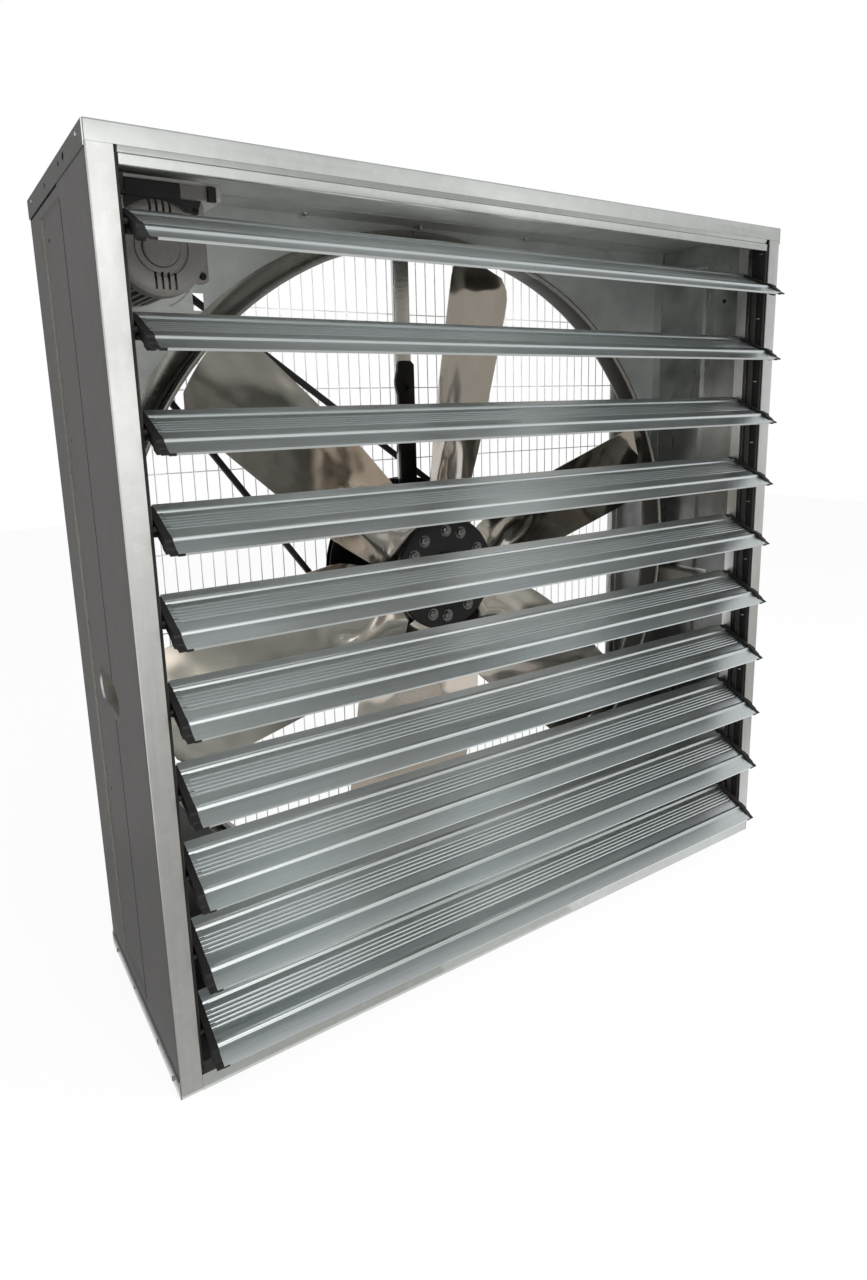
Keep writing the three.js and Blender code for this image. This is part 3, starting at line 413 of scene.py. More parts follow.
def filleted(points: Sequence[Pair], radius: float, steps: int = 4) -> list[Pair]:
    """Rounds the inner corners of an open line.

    Args:
        points: The line's corners, in order.
        radius: The radius of each bend.
        steps: The number of edges in each bend.

    Returns:
        The line with an arc in place of each inner corner.
    """
    made = [points[0]]
    for before, corner, after in zip(points, points[1:], points[2:]):
        back = (Vector(before) - Vector(corner)).normalized()
        ahead = (Vector(after) - Vector(corner)).normalized()
        half = back.angle(ahead) / 2
        middle = Vector(corner) + (back + ahead).normalized() * (radius / math.sin(half))
        reach = radius / math.tan(half)
        first = Vector(corner) + back * reach - middle
        last = Vector(corner) + ahead * reach - middle
        for i in range(steps + 1):
            spoke = first.lerp(last, i / steps).normalized() * radius + middle
            made.append((spoke.x, spoke.y))
    made.append(points[-1])
    return made


def beside(line: Sequence[Pair], distance: float) -> list[Pair]:
    """Moves a line sideways, mitred at its corners.

    Args:
        line: The line's points.
        distance: How far it moves to its left.

    Returns:
        The moved line.
    """
    normals = []
    for (a, b), (c, d) in zip(line, line[1:]):
        run = Vector((c - a, d - b)).normalized()
        normals.append(Vector((-run.y, run.x)))
    made = []
    for i, (a, b) in enumerate(line):
        before, after = normals[max(i - 1, 0)], normals[min(i, len(normals) - 1)]
        mitre = (before + after).normalized()
        reach = distance / mitre.dot(before)
        made.append((a + mitre.x * reach, b + mitre.y * reach))
    return made


def folded(points: Sequence[Pair], thickness: float, radius: float = 2.5) -> list[Pair]:
    """Returns the closed section of a folded sheet, thickened to the left of its outer line."""
    line = filleted(points, radius)
    return [*line, *reversed(beside(line, thickness))]


def rounded_box(low: Pair, high: Pair, radius: float, steps: int = 4) -> list[Pair]:
    """Draws a rectangle with round corners.

    Args:
        low: The lower left corner.
        high: The upper right corner.
        radius: The radius of the corners.
        steps: The number of edges in each corner.

    Returns:
        The closed outline.
    """
    (a, b), (c, d) = low, high
    corners = (((c - radius, d - radius), 0), ((a + radius, d - radius), 90),
               ((a + radius, b + radius), 180), ((c - radius, b + radius), 270))
    return [point for centre, start in corners for point in arc(centre, radius, start, start + 90, steps)]


def square_loop(centre: Pair, half: Pair, steps: int) -> list[Pair]:
    """Draws a rectangle with a point for each point of a circle.

    Args:
        centre: The rectangle's middle.
        half: Its half width and half height.
        steps: The number of points.

    Returns:
        The closed outline.
    """
    made = []
    for i in range(steps):
        across, up = math.cos(2 * math.pi * i / steps), math.sin(2 * math.pi * i / steps)
        grow = 1 / max(abs(across), abs(up))
        made.append((centre[0] + half[0] * across * grow, centre[1] + half[1] * up * grow))
    return made


def hump(offset: float) -> float:
    """Returns a smooth bump of height one over offsets from -1 to 1."""
    return 0.5 * (1 + math.cos(math.pi * offset)) if abs(offset) < 1 else 0.0


def step(value: float, start: float, end: float) -> float:
    """Returns a smooth rise from 0 at the start to 1 at the end."""
    share = min(max((value - start) / (end - start), 0.0), 1.0)
    return share * share * (3 - 2 * share)


def turn_about_y(point: Vector, angle: float, centre_z: float) -> Vector:
    """Turns a point about the fan's axis.

    Args:
        point: The point.
        angle: The turn in radians, from +X towards +Z.
        centre_z: The height of the axis.

    Returns:
        The turned point.
    """
    x, z = point.x, point.z - centre_z
    across = x * math.cos(angle) - z * math.sin(angle)
    return Vector((across, point.y, centre_z + x * math.sin(angle) + z * math.cos(angle)))


class Shape:
    """A mesh in the making, in millimetres in the row frame."""

    def __init__(self) -> None:
        """Starts an empty mesh."""
        self.mesh = bmesh.new()

    def bridge(self, loops: Sequence[Sequence[Vector]], closed: bool = True, capped: bool = False) -> "Shape":
        """Joins loops of points by quads.

        Args:
            loops: Loops with the same number of points.
            closed: Whether each loop returns to its first point.
            capped: Whether the first and the last loop are filled.

        Returns:
            The shape itself.
        """
        rows = [[self.mesh.verts.new(point) for point in loop] for loop in loops]
        count = len(rows[0])
        for here, there in zip(rows, rows[1:]):
            for i in range(count if closed else count - 1):
                j = (i + 1) % count
                self.mesh.faces.new((here[i], here[j], there[j], there[i]))
        if capped:
            self.mesh.faces.new(rows[0])
            self.mesh.faces.new(rows[-1])
        return self

    def prism(self, outline: Sequence[Pair], axis: Axis, start: float, end: float) -> "Shape":
        """Pushes a closed outline along an axis."""
        ends = [[axis.place(a, b, along) for a, b in outline] for along in (start, end)]
        return self.bridge(ends, capped=True)

    def block(self, x: Pair, y: Pair, z: Pair) -> "Shape":
        """Adds a block between two values on each axis."""
        return self.prism([(x[0], y[0]), (x[1], y[0]), (x[1], y[1]), (x[0], y[1])], Axis.Z, *z)

    def turned(
        self,
        profile: Sequence[Pair],
        origin: Vector,
        direction: Vector,
        steps: int = 32,
        closed: bool = False,
    ) -> "Shape":
        """Turns a profile of (radius, height) points about a line.

        Args:
            profile: The points, with heights along the direction.
            origin: The point of height zero on the line.
            direction: The line's direction.
            steps: The number of edges round the line.
            closed: Whether the profile is a closed outline.

        Returns:
            The shape itself.
        """
        basis = direction.to_track_quat("Z", "Y").to_matrix()
        loops = []
        for i in range(steps + 1):
            angle = 2 * math.pi * (i % steps) / steps
            loops.append([
                origin + basis @ Vector((radius * math.cos(angle), radius * math.sin(angle), height))
                for radius, height in profile
            ])
        return self.bridge(loops, closed=closed)

    def rod(self, start: Vector, end: Vector, radius: float, sides: int = 12) -> "Shape":
        """Adds a closed round bar between two points."""
        length = (end - start).length
        return self.turned([(0, 0), (radius, 0), (radius, length), (0, length)], start, end - start, sides)

    def wire(self, path: Sequence[Vector], radius: float, sides: int = 8) -> "Shape":
        """Adds a round wire along a path, with its ends closed.

        Args:
            path: The points of the wire's middle line.
            radius: The wire's radius.
            sides: The number of edges round it.

        Returns:
            The shape itself.
        """
        loops = []
        for i, point in enumerate(path):
            run = path[min(i + 1, len(path) - 1)] - path[max(i - 1, 0)]
            basis = run.to_track_quat("Z", "Y").to_matrix()
            angles = (2 * math.pi * k / sides for k in range(sides))
            spokes = (Vector((radius * math.cos(a), radius * math.sin(a), 0)) for a in angles)
            loops.append([point + basis @ spoke for spoke in spokes])
        return self.bridge(loops, capped=True)

    def hexagon(
        self, base: Vector, direction: Vector, radius: float, height: float, turn: float = 0.0
    ) -> "Shape":
        """Adds a hexagon head with a chamfered top.

        Args:
            base: The point that it stands on.
            direction: The way it points.
            radius: The radius through its corners.
            height: Its height.
            turn: Its turn about the direction, in radians.

        Returns:
            The shape itself.
        """
        profile = [(0, 0), (radius, 0), (radius, height * 0.85), (radius * 0.8, height), (0, height)]
        spun = Shape().turned(profile, Vector((0, 0, 0)), Vector((0, 0, 1)), 6)
        basis = direction.to_track_quat("Z", "Y").to_matrix() @ Matrix.Rotation(turn, 3, "Z")
        place = Matrix.Translation(base) @ basis.to_4x4()
        bmesh.ops.transform(spun.mesh, matrix=place, verts=spun.mesh.verts)
        return self.add(spun)

    def slab(
        self,
        front: Sequence[Sequence[Vector]],
        rear: Sequence[Sequence[Vector]],
        skipped: Callable[[Vector], bool] = lambda middle: False,
    ) -> "Shape":
        """Closes the space between two grids of points.

        Args:
            front: Rows of points of one face.
            rear: Rows of points of the other face.
            skipped: Says of the middle of a front cell whether it stays open.

        Returns:
            The shape itself.
        """
        new = self.mesh.verts.new
        fore = [[new(point) for point in row] for row in front]
        back = [[new(point) for point in row] for row in rear]
        rows, columns = len(fore), len(fore[0])
        for i in range(rows - 1):
            for j in range(columns - 1):
                cell = (fore[i][j], fore[i + 1][j], fore[i + 1][j + 1], fore[i][j + 1])
                if skipped(sum((vert.co for vert in cell), Vector()) / 4):
                    continue
                self.mesh.faces.new(cell)
                self.mesh.faces.new((back[i][j + 1], back[i + 1][j + 1], back[i + 1][j], back[i][j]))
        for i in range(rows - 1):
            self.mesh.faces.new((fore[i + 1][0], fore[i][0], back[i][0], back[i + 1][0]))
            self.mesh.faces.new((fore[i][-1], fore[i + 1][-1], back[i + 1][-1], back[i][-1]))
        for j in range(columns - 1):
            self.mesh.faces.new((fore[-1][j + 1], fore[-1][j], back[-1][j], back[-1][j + 1]))
            self.mesh.faces.new((fore[0][j], fore[0][j + 1], back[0][j + 1], back[0][j]))
        return self

    def add(self, other: "Shape") -> "Shape":
        """Takes in another shape's mesh.

        Args:
            other: The other shape, which is used up.

        Returns:
            The shape itself.
        """
        held = bpy.data.meshes.new("held")
        other.mesh.to_mesh(held)
        other.mesh.free()
        self.mesh.from_mesh(held)
        bpy.data.meshes.remove(held)
        return self

    def cut(self, tool: "Shape") -> "Shape":
        """Takes another shape's space out of this one.

        Args:
            tool: The other shape, which is used up.

        Returns:
            The shape itself.
        """
        loose = []
        for shape in (self, tool):
            bmesh.ops.remove_doubles(shape.mesh, verts=shape.mesh.verts, dist=MERGE_DISTANCE)
            bmesh.ops.recalc_face_normals(shape.mesh, faces=shape.mesh.faces)
            held = bpy.data.meshes.new("loose")
            shape.mesh.to_mesh(held)
            shape.mesh.free()
            loose.append(bpy.data.objects.new("loose", held))
            bpy.context.scene.collection.objects.link(loose[-1])
        knife = loose[0].modifiers.new("cut", "BOOLEAN")
        knife.operation = "DIFFERENCE"
        knife.solver = "EXACT"
        knife.use_self = True
        knife.object = loose[1]
        bpy.context.view_layer.update()
        graph = bpy.context.evaluated_depsgraph_get()
        made = bpy.data.meshes.new_from_object(loose[0].evaluated_get(graph))
        self.mesh = bmesh.new()
        self.mesh.from_mesh(made)
        bpy.data.meshes.remove(made)
        for piece in loose:
            data = piece.data
            bpy.data.objects.remove(piece)
            bpy.data.meshes.remove(data)
        return self

    def tilted(self, pivot: Vector, angle: float) -> "Shape":
        """Turns the shape about a line along X.

        Args:
            pivot: A point of the line.
            angle: The turn in radians.

        Returns:
            The shape itself.
        """
        spin = Matrix.Translation(pivot) @ Matrix.Rotation(angle, 4, "X") @ Matrix.Translation(-pivot)
        bmesh.ops.transform(self.mesh, matrix=spin, verts=self.mesh.verts)
        return self

    def build(
        self,
        name: str,
        finish: Finish,
        stands_for: Sequence[str] = (),
        body: str = Body.CASING.value,
        bevel: float = 0.0,
        smooth: float = 32.0,
    ) -> bpy.types.Object:
        """Makes the object, dresses it and hangs it on its body.

        Args:
            name: The piece's name.
            finish: The piece's finish.
            stands_for: The CAD nodes that it replaces.
            body: The CAD body it rides on.
            bevel: The width of the rounding along sharp edges, in millimetres.
            smooth: The angle in degrees below which faces shade as one.

        Returns:
            The finished object.
        """
        bmesh.ops.remove_doubles(self.mesh, verts=self.mesh.verts, dist=MERGE_DISTANCE)
        bmesh.ops.recalc_face_normals(self.mesh, faces=self.mesh.faces)
        bmesh.ops.scale(self.mesh, vec=(MM, MM, MM), verts=self.mesh.verts)
        data = bpy.data.meshes.new(name)
        self.mesh.to_mesh(data)
        self.mesh.free()
        data.shade_smooth()
        data.set_sharp_from_angle(angle=math.radians(smooth))
        data.materials.append(finish.material())
        piece = bpy.data.objects.new(name, data)
        bpy.context.scene.collection.objects.link(piece)
        if bevel:
            rounding = piece.modifiers.new("rounding", "BEVEL")
            rounding.width = bevel * MM
            rounding.segments = 2
            rounding.limit_method = "ANGLE"
            rounding.angle_limit = math.radians(smooth)
            rounding.harden_normals = True
        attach(piece, body)
        if stands_for:
            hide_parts(*stands_for)
        LOG.info("%s on %s, %d faces", name, body, len(data.polygons))
        return piece


# Sub-assemblies


@dataclass
class SubAssembly:
    """What the sub-assemblies share: the sheet, the inside's height, the fan's and the motor's axes."""

    sheet: float = 1.2
    floor: float = 1.5
    ceiling: float = 1378.5
    axis_z: float = 690.0
    motor_axis: Pair = (-572.0, 1262.0)
    shaft_radius: float = 15.0


@dataclass
class Casing(SubAssembly):
    """The four folded panels of the casing, with their pressed fields, hand-holds, rivets and holes."""

    fold_radius: float = 2.6
    half_width: float = 690.0
    front: float = -225.0
    rear: float = 225.0
    height: float = 1380.0
    panel_x: float = 688.5
    top_flange: float = 26.0
    bottom_flange: float = 28.0
    side_flange_x: float = 655.0
    rear_flange: float = 35.0
    lap: float = 32.0
    clearance: float = 0.3
    overlap: float = 1.0
    web_gap: float = 4.0
    flange_root: float = 5.0
    tight_bend: float = 1.4
    field: tuple[float, float, float, float] = (-38.0, 127.0, 48.0, 1332.0)
    field_depth: float = 3.0
    crease: float = 2.0
    inner_spread: float = 10.0
    # Thin dark strips of painted shadow beside the field's front crease and under the top lap.
    shadow_line_width: float = 2.2
    shadow_line_sheet: float = 0.5
    shadow_line_proud: float = 0.15
    shadow_line_gap: float = 6.0
    shadow_line_setback: float = 12.0
    lap_shadow_line: Pair = (2.6, 0.6)
    cup_centre: Pair = (3.0, 590.0)
    cup_reach: float = 44.0
    cup_radius: float = 31.0
    cup_lips: Pair = (-1.0, 0.6)
    cup_profile: tuple[Pair, ...] = ((2.0, 6.0), (4.0, 19.0), (6.0, 22.5), (10.0, 24.0))
    cup_margin: float = 4.0
    cup_sides: int = 64
    shade_below: float = 1.5
    inside_facing: float = 0.9
    inside_area: float = 0.1
    rivet_radius: float = 4.2
    rivet_ys: Pair = (-187.0, 187.0)
    hole_spots: tuple[Triple, ...] = (
        (-100.0, 1366.0, 5.0), (-64.0, 1365.0, 3.2), (55.0, 1364.0, 3.4), (91.0, 1294.0, 3.2),
        (90.0, 992.0, 2.4), (124.0, 682.0, 2.4), (86.0, 390.0, 2.4), (-100.0, 14.0, 4.0), (55.0, 15.0, 3.4),
    )
    inner_hole: Triple = (-94.0, 1248.0, 4.2)
    hole_proud: float = 0.05
    hole_rise: float = 0.12
    hole_lip: float = 0.4

    def build(self) -> None:
        """Makes the panels and their fasteners."""
        top_reach, bottom_reach = self.half_width - self.fold_radius, self.side_flange_x - self.clearance
        self._end_panel("casing_top", self.height, -1, self.top_flange, top_reach, "top_panel")
        self._end_panel("casing_bottom", 0.0, 1, self.bottom_flange, bottom_reach, "bottom_panel")
        for side in Side:
            self._side_panel(side)
        self._fasteners()
        self._shadow_lines()

    def _end_panel(
        self, name: str, outer: float, inward: int, flange: float, flange_reach: float, node: str
    ) -> None:
        """Makes the top or the bottom panel, which laps over the side panels.

        Args:
            name: The piece's name.
            outer: The height of its outer face.
            inward: The way from that face into the casing.
            flange: The height of its front flange.
            flange_reach: The half length of its front flange.
            node: The CAD node that it replaces.
        """
        reach = self.half_width - self.fold_radius
        web = [(self.rear, outer + inward * self.rear_flange), (self.rear, outer),
               (self.front + self.web_gap, outer)]
        section = folded(web if inward < 0 else web[::-1], self.sheet, self.fold_radius)
        shape = Shape().prism(section, Axis.X, -reach, reach)
        lip = [(self.front + self.flange_root, outer), (self.front, outer),
               (self.front, outer + inward * flange)]
        bend = self.tight_bend if flange_reach < self.side_flange_x else self.fold_radius
        section = folded(lip if inward < 0 else lip[::-1], self.sheet, bend)
        shape.prism(section, Axis.X, -flange_reach, flange_reach)
        for side in Side:
            edge = [(side.value * (reach - self.overlap), outer), (side.value * self.half_width, outer),
                    (side.value * self.half_width, outer + inward * self.lap)]
            turn = side.value * inward > 0
            lap = folded(edge if turn else edge[::-1], self.sheet, self.fold_radius)
            shape.prism(lap, Axis.Y, self.front + self.sheet / 2, self.rear - self.sheet / 2)
        panel = shape.build(name, LEVEL_SHEET, [node])
        self._dull_and_shade_inside(panel, Vector((0, 0, inward)))

    def _dull_and_shade_inside(self, panel: bpy.types.Object, inward: Vector) -> None:
        """Gives the faces that look into the casing the inside's duller sheet, whose colour darkens towards
        the bottom as painted shade.

        Args:
            panel: The finished panel.
            inward: The way into the casing.
        """
        panel.data.materials.append(DULL_PAINTED_SHADE_SHEET.material())
        for face in panel.data.polygons:
            if face.normal.dot(inward) > self.inside_facing and face.area > self.inside_area:
                face.material_index = 1

    def _field_depth(self, y: float, z: float, spread: float = 0.0) -> float:
        """Works out how deep the side panel is pressed at a place.

        Args:
            y: The place's depth in the casing.
            z: Its height.
            spread: How far the field's edge is spread outwards.

        Returns:
            The depth of the pressing.
        """
        front, rear, low, high = self.field
        front, rear, low, high = front - spread, rear + spread, low - spread, high + spread
        crease = self.crease + spread
        across = step(y, front, front + crease) * (1 - step(y, rear - crease, rear))
        return self.field_depth * across * step(z, low, low + crease) * (1 - step(z, high - crease, high))

    def _cup_rim(self, inset: float) -> list[Pair]:
        """Draws the hand-hold's oval.

        Args:
            inset: How far it is drawn in.

        Returns:
            The closed outline.
        """
        made = []
        for i in range(self.cup_sides):
            angle = 2 * math.pi * i / self.cup_sides
            across = math.cos(angle)
            end = 0.0 if abs(across) < 1e-6 else math.copysign(self.cup_reach, across)
            radius = self.cup_radius - inset
            y = self.cup_centre[0] + end + radius * across
            made.append((y, self.cup_centre[1] + radius * math.sin(angle)))
        return made

    def _side_panel(self, side: Side) -> None:
        """Makes a side panel: web with its pressed field, two flanges and the hand-hold's cup.

        Args:
            side: The panel's side.
        """
        sign = side.value
        half = (self.cup_reach + self.cup_radius + self.cup_margin, self.cup_radius + self.cup_margin)
        shape = self._web(sign, half)
        self._side_flanges(shape, sign)
        shape.add(self._cup(sign, half))
        name, node = f"casing_side_{side.label}", f"{side.label}_panel"
        self._shade_pressings(shape.build(name, UPRIGHT_SHEET, [node]), sign)

    def _web(self, sign: int, half: Pair) -> Shape:
        """Makes a side panel's web with its pressed field and a window for the cup.

        Args:
            sign: The side that it is on.
            half: The window's half length and half height.

        Returns:
            The web.
        """
        front, rear, low, high = self.field
        window_y, window_z = ((mid - reach, mid + reach) for mid, reach in zip(self.cup_centre, half))
        edge, spread = self.rear - self.fold_radius, self.inner_spread
        steps = [self.crease * share for share in (0, 0.25, 0.5, 0.75, 1)]
        steps += [-spread * share for share in (1, 0.75, 0.5, 0.25)]
        ys = sorted({-edge, edge, *window_y, *(front + s for s in steps), *(rear - s for s in steps)})
        field_zs = [*(low + s for s in steps), *(high - s for s in steps)]
        zs = sorted({self.floor, self.ceiling, *window_z, *field_zs})

        def grid(lift: float, spread: float) -> list[list[Vector]]:
            """Returns the web's points, a lift below its outer face."""
            return [
                [Vector((sign * (self.panel_x - self._field_depth(y, z, spread) - lift), y, z)) for y in ys]
                for z in zs
            ]

        def in_window(middle: Vector) -> bool:
            """Says whether a cell lies in the window."""
            return window_y[0] < middle.y < window_y[1] and window_z[0] < middle.z < window_z[1]

        return Shape().slab(grid(0.0, 0.0), grid(self.sheet, spread), in_window)

    def _side_flanges(self, shape: Shape, sign: int) -> None:
        """Adds the front and the rear flange of a side panel.

        Args:
            shape: The shape that takes them.
            sign: The side that they are on.
        """
        gap, inner = self.clearance, self.rear - self.fold_radius - self.overlap
        for y, flange, ends in (
            (self.rear, self.half_width - self.rear_flange,
             (self.rear_flange + gap, self.height - self.rear_flange - gap)),
            (self.front, self.side_flange_x, (self.floor, self.height - self.top_flange - gap)),
        ):
            wall = sign * self.panel_x
            line = [(sign * flange, y), (wall, y), (wall, math.copysign(inner, y))]
            section = folded(line if sign * y < 0 else line[::-1], self.sheet, self.fold_radius)
            shape.prism(section, Axis.Z, *ends)

    def _cup(self, sign: int, half: Pair) -> Shape:
        """Makes the hand-hold's cup and the flat rim round it.

        Args:
            sign: The side that it is on.
            half: The half length and half height of the window that it fills.

        Returns:
            The cup.
        """
        rings = [(square_loop(self.cup_centre, half, self.cup_sides), None),
                 *((self._cup_rim(inset), None) for inset in self.cup_lips),
                 *((self._cup_rim(inset), depth) for inset, depth in self.cup_profile)]
        loops = [
            [Vector((sign * (self.panel_x - (self._field_depth(y, z) if depth is None else depth)), y, z))
             for y, z in ring]
            for ring, depth in rings
        ]
        cup = Shape().bridge(loops)
        cup.mesh.faces.new([cup.mesh.verts.new(point) for point in loops[-1]])
        return cup

    def _shade_pressings(self, panel: bpy.types.Object, sign: int) -> None:
        """Gives the rear crease and the hand-hold's cup a dark colour of painted shade, and the web's inner
        face its sheet with painted dark reflections and painted shade towards the bottom.

        Args:
            panel: The finished panel.
            sign: The side that it is on.
        """
        for finish in (PRESSING_PAINTED_SHADE, WALL_PAINTED_REFLECTION_SHEET):
            panel.data.materials.append(finish.material())
        bottom = (self.panel_x - self.field_depth - self.shade_below) * MM
        for face in panel.data.polygons:
            y, z = face.center.y / MM, face.center.z / MM
            in_crease = self.field[1] - self.crease <= y <= self.field[1] and abs(face.normal.y) > 0.1
            in_oval = (abs(y - self.cup_centre[0]) < self.cup_reach + self.cup_radius
                       and abs(z - self.cup_centre[1]) < self.cup_radius)
            if in_crease or (in_oval and sign * face.center.x < bottom):
                face.material_index = 1
            elif sign * face.normal.x < -0.5 and abs(y) < self.rear - self.lap:
                face.material_index = 2

    def _fasteners(self) -> None:
        """Makes the rivets and the punched holes on the side panels."""
        rivets, holes = Shape(), Shape()
        for side in Side:
            out = Vector((side.value, 0, 0))
            for y in self.rivet_ys:
                for z in (self.height - self.lap / 3, self.lap / 3):
                    self._rivet(rivets, Vector((side.value * self.half_width, y, z)), out)
            for y, z, radius in self.hole_spots:
                on_lap = z > self.height - self.lap or z < self.lap
                face = self.half_width if on_lap else self.panel_x - self._field_depth(y, z)
                self._hole(holes, Vector((side.value * (face + self.hole_proud), y, z)), out, radius)
            y, z, radius = self.inner_hole
            face = self.panel_x - self.sheet - self.hole_proud
            self._hole(holes, Vector((side.value * face, y, z)), -out, radius)
        rivets.build("casing_rivets", ZINC)
        holes.build("casing_punched_holes", HOLE_SHADOW)

    def _shadow_lines(self) -> None:
        """Makes thin dark strips of painted shadow: the fold's shadow beside the pressed field's front crease
        and the lap's shadow under the top lap.
        """
        shape = Shape()
        front, _, low, high = self.field
        cup_low, cup_high = (self.cup_centre[1] + way * (self.cup_radius + self.overlap) for way in (-1, 1))
        upright, lap_edge = (front - self.shadow_line_width, front), self.height - self.lap
        spans = (
            (upright, (low + self.shadow_line_gap, cup_low)),
            (upright, (cup_high, high - self.shadow_line_gap)),
            ((front + self.shadow_line_setback, self.rear - self.shadow_line_gap),
             (lap_edge - self.lap_shadow_line[0], lap_edge - self.lap_shadow_line[1])),
        )
        outer = self.panel_x + self.shadow_line_proud
        inner = outer - self.shadow_line_sheet
        for side in Side:
            for (y0, y1), z in spans:
                corners = ((outer, y0), (outer, y1), (inner, y1), (inner, y0))
                shape.prism([(side.value * x, y) for x, y in corners], Axis.Z, *z)
        shape.build("casing_painted_shadow_lines", HOLE_SHADOW)

    def _rivet(self, shape: Shape, base: Vector, out: Vector) -> None:
        """Adds a domed rivet head.

        Args:
            shape: The shape that takes it.
            base: The point that it stands on.
            out: The way it points.
        """
        radius = self.rivet_radius
        dome = [(0, 2.0), (radius * 0.45, 1.8), (radius * 0.85, 1.0), (radius, 0.3), (radius, 0)]
        shape.turned(dome, base, out, 16)

    def _hole(self, shape: Shape, base: Vector, out: Vector, radius: float) -> None:
        """Adds the dark disc of a punched hole."""
        disc = [(0, self.hole_rise), (radius, self.hole_rise), (radius + self.hole_lip, 0)]
        shape.turned(disc, base, out, 16)


@dataclass
class Venturi(SubAssembly):
    """The plate across the casing with its bell, screws and corner beads."""

    throat: float = 646.0
    mouth: float = 681.0
    plate_y: float = 106.0
    curve_depth: float = 26.0
    bell_front: float = 35.0
    rim_roll: float = 4.0
    bright_rim: float = 10.0
    lining_x: float = 684.0
    end_flange: float = 60.0
    side_flange: float = 22.0
    bead_centre: Pair = (531.0, 586.5)
    bead_radius: float = 73.0
    bead_arc: Pair = (158.0, 250.0)
    bead_wire: float = 1.4
    bead_sink: float = 0.5
    belt_window: tuple[Pair, Pair] = ((-466.0, -447.0), (1202.0, 1231.0))
    shaft_hole: float = 20.0
    cut_reach: float = 5.0
    screw_setback: float = 12.0
    screw_xs: tuple[float, ...] = (-253.0, -8.0, 260.0, 507.0)
    washer: Pair = (7.0, 1.2)
    washer_lip: float = 0.6
    screw_head: Pair = (4.8, 4.6)
    sides: int = 128
    curve_steps: int = 14

    def build(self) -> None:
        """Makes the plate with its bell, and the screws that hold it."""
        rear = self.plate_y + self.sheet
        bell = self._bell(rear)
        self._paint_throat_shade(bell.build("venturi_bell", BELL_SHEET))
        shape = self._plate(rear)
        for way in (-1, 1):
            low, high = sorted((way * self.lining_x, way * (self.lining_x - self.sheet)))
            shape.block((low, high), (self.plate_y - self.side_flange, rear), (self.floor, self.ceiling))
        width = (-self.lining_x, self.lining_x)
        for low in (self.floor, self.ceiling - self.sheet):
            shape.block(width, (self.plate_y - self.end_flange, rear), (low, low + self.sheet))
        shape.build("venturi_face", DULL_PAINTED_SHADE_SHEET, ["venturi_plate"])
        self._beads()
        self._screws()

    def _paint_throat_shade(self, bell: bpy.types.Object) -> None:
        """Gives the faces that look at the blades a near-black colour: painted shade inside the throat.

        Args:
            bell: The finished bell.
        """
        bell.data.materials.append(THROAT_PAINTED_SHADE.material())
        axis = Vector((0, 0, self.axis_z * MM))
        for face in bell.data.polygons:
            spoke = face.center - axis
            spoke.y = 0
            rolled = face.center.y < (self.bell_front + self.bright_rim) * MM
            if face.normal.dot(spoke) < 0 and not rolled:
                face.material_index = 1

    def _ring(self, radius: float, y: float) -> list[Vector]:
        """Returns a circle of points about the fan's axis."""
        angles = (2 * math.pi * i / self.sides for i in range(self.sides))
        return [Vector((radius * math.cos(a), y, self.axis_z + radius * math.sin(a))) for a in angles]

    def _edge(self, y: float) -> list[Vector]:
        """Returns the plate's square edge, with a point for each point of the circle."""
        half = (self.lining_x, self.ceiling - self.axis_z)
        return [Vector((x, y, z)) for x, z in square_loop((0.0, self.axis_z), half, self.sides)]

    def _plate(self, rear: float) -> Shape:
        """Makes the flat plate with its round mouth, the hole for the motor's shaft and the belt's window.

        Args:
            rear: The depth of its rear face.

        Returns:
            The plate.
        """
        front = self.plate_y
        loops = [self._ring(self.mouth, front), self._edge(front), self._edge(rear)]
        plate = Shape().bridge([*loops, self._ring(self.mouth, rear), loops[0]])
        x, z = self.motor_axis
        depth = (front - self.cut_reach, rear + self.cut_reach)
        holes = Shape().rod(Vector((x, depth[0], z)), Vector((x, depth[1], z)), self.shaft_hole, 32)
        holes.block(self.belt_window[0], depth, self.belt_window[1])
        return plate.cut(holes)

    def _bell(self, rear: float) -> Shape:
        """Makes the bell: flare, throat and rolled rim.

        Args:
            rear: The depth of the plate's rear face.

        Returns:
            The bell.
        """
        line = []
        for i in range(self.curve_steps + 1):
            angle = math.pi / 2 * (1 - i / self.curve_steps)
            line.append((self.throat + (self.mouth - self.throat) * (1 - math.cos(angle)),
                         rear - self.curve_depth * (1 - math.sin(angle))))
        centre = (self.throat + self.rim_roll, self.bell_front + self.rim_roll)
        line += arc(centre, self.rim_roll, 180, 400, 12)
        section = [*line, *reversed(beside(line, -self.sheet))]
        axis = Vector((0, 0, self.axis_z))
        return Shape().turned(section, axis, Vector((0, 1, 0)), self.sides, closed=True)

    def _beads(self) -> None:
        """Makes the pressed bead round each corner of the plate."""
        shape = Shape()
        line, y = arc(self.bead_centre, self.bead_radius, *self.bead_arc, 24), self.plate_y + self.bead_sink
        for across in (-1, 1):
            for up in (-1, 1):
                path = [Vector((across * a, y, self.axis_z + up * b)) for a, b in line]
                shape.wire(path, self.bead_wire, 10)
        shape.build("venturi_corner_beads", DULL_PAINTED_SHADE_SHEET)

    def _screws(self) -> None:
        """Makes the self-drilling screws in the plate's upper and lower flanges."""
        shape = Shape()
        y = self.plate_y - self.screw_setback
        radius, rise = self.washer
        for x in self.screw_xs:
            for z, way in ((self.ceiling - self.sheet, -1), (self.floor + self.sheet, 1)):
                base, out = Vector((x, y, z)), Vector((0, 0, way))
                shape.turned([(0, rise), (radius, rise), (radius + self.washer_lip, 0)], base, out, 20)
                shape.hexagon(base + out, out, *self.screw_head)
        shape.build("venturi_screws", ZINC)


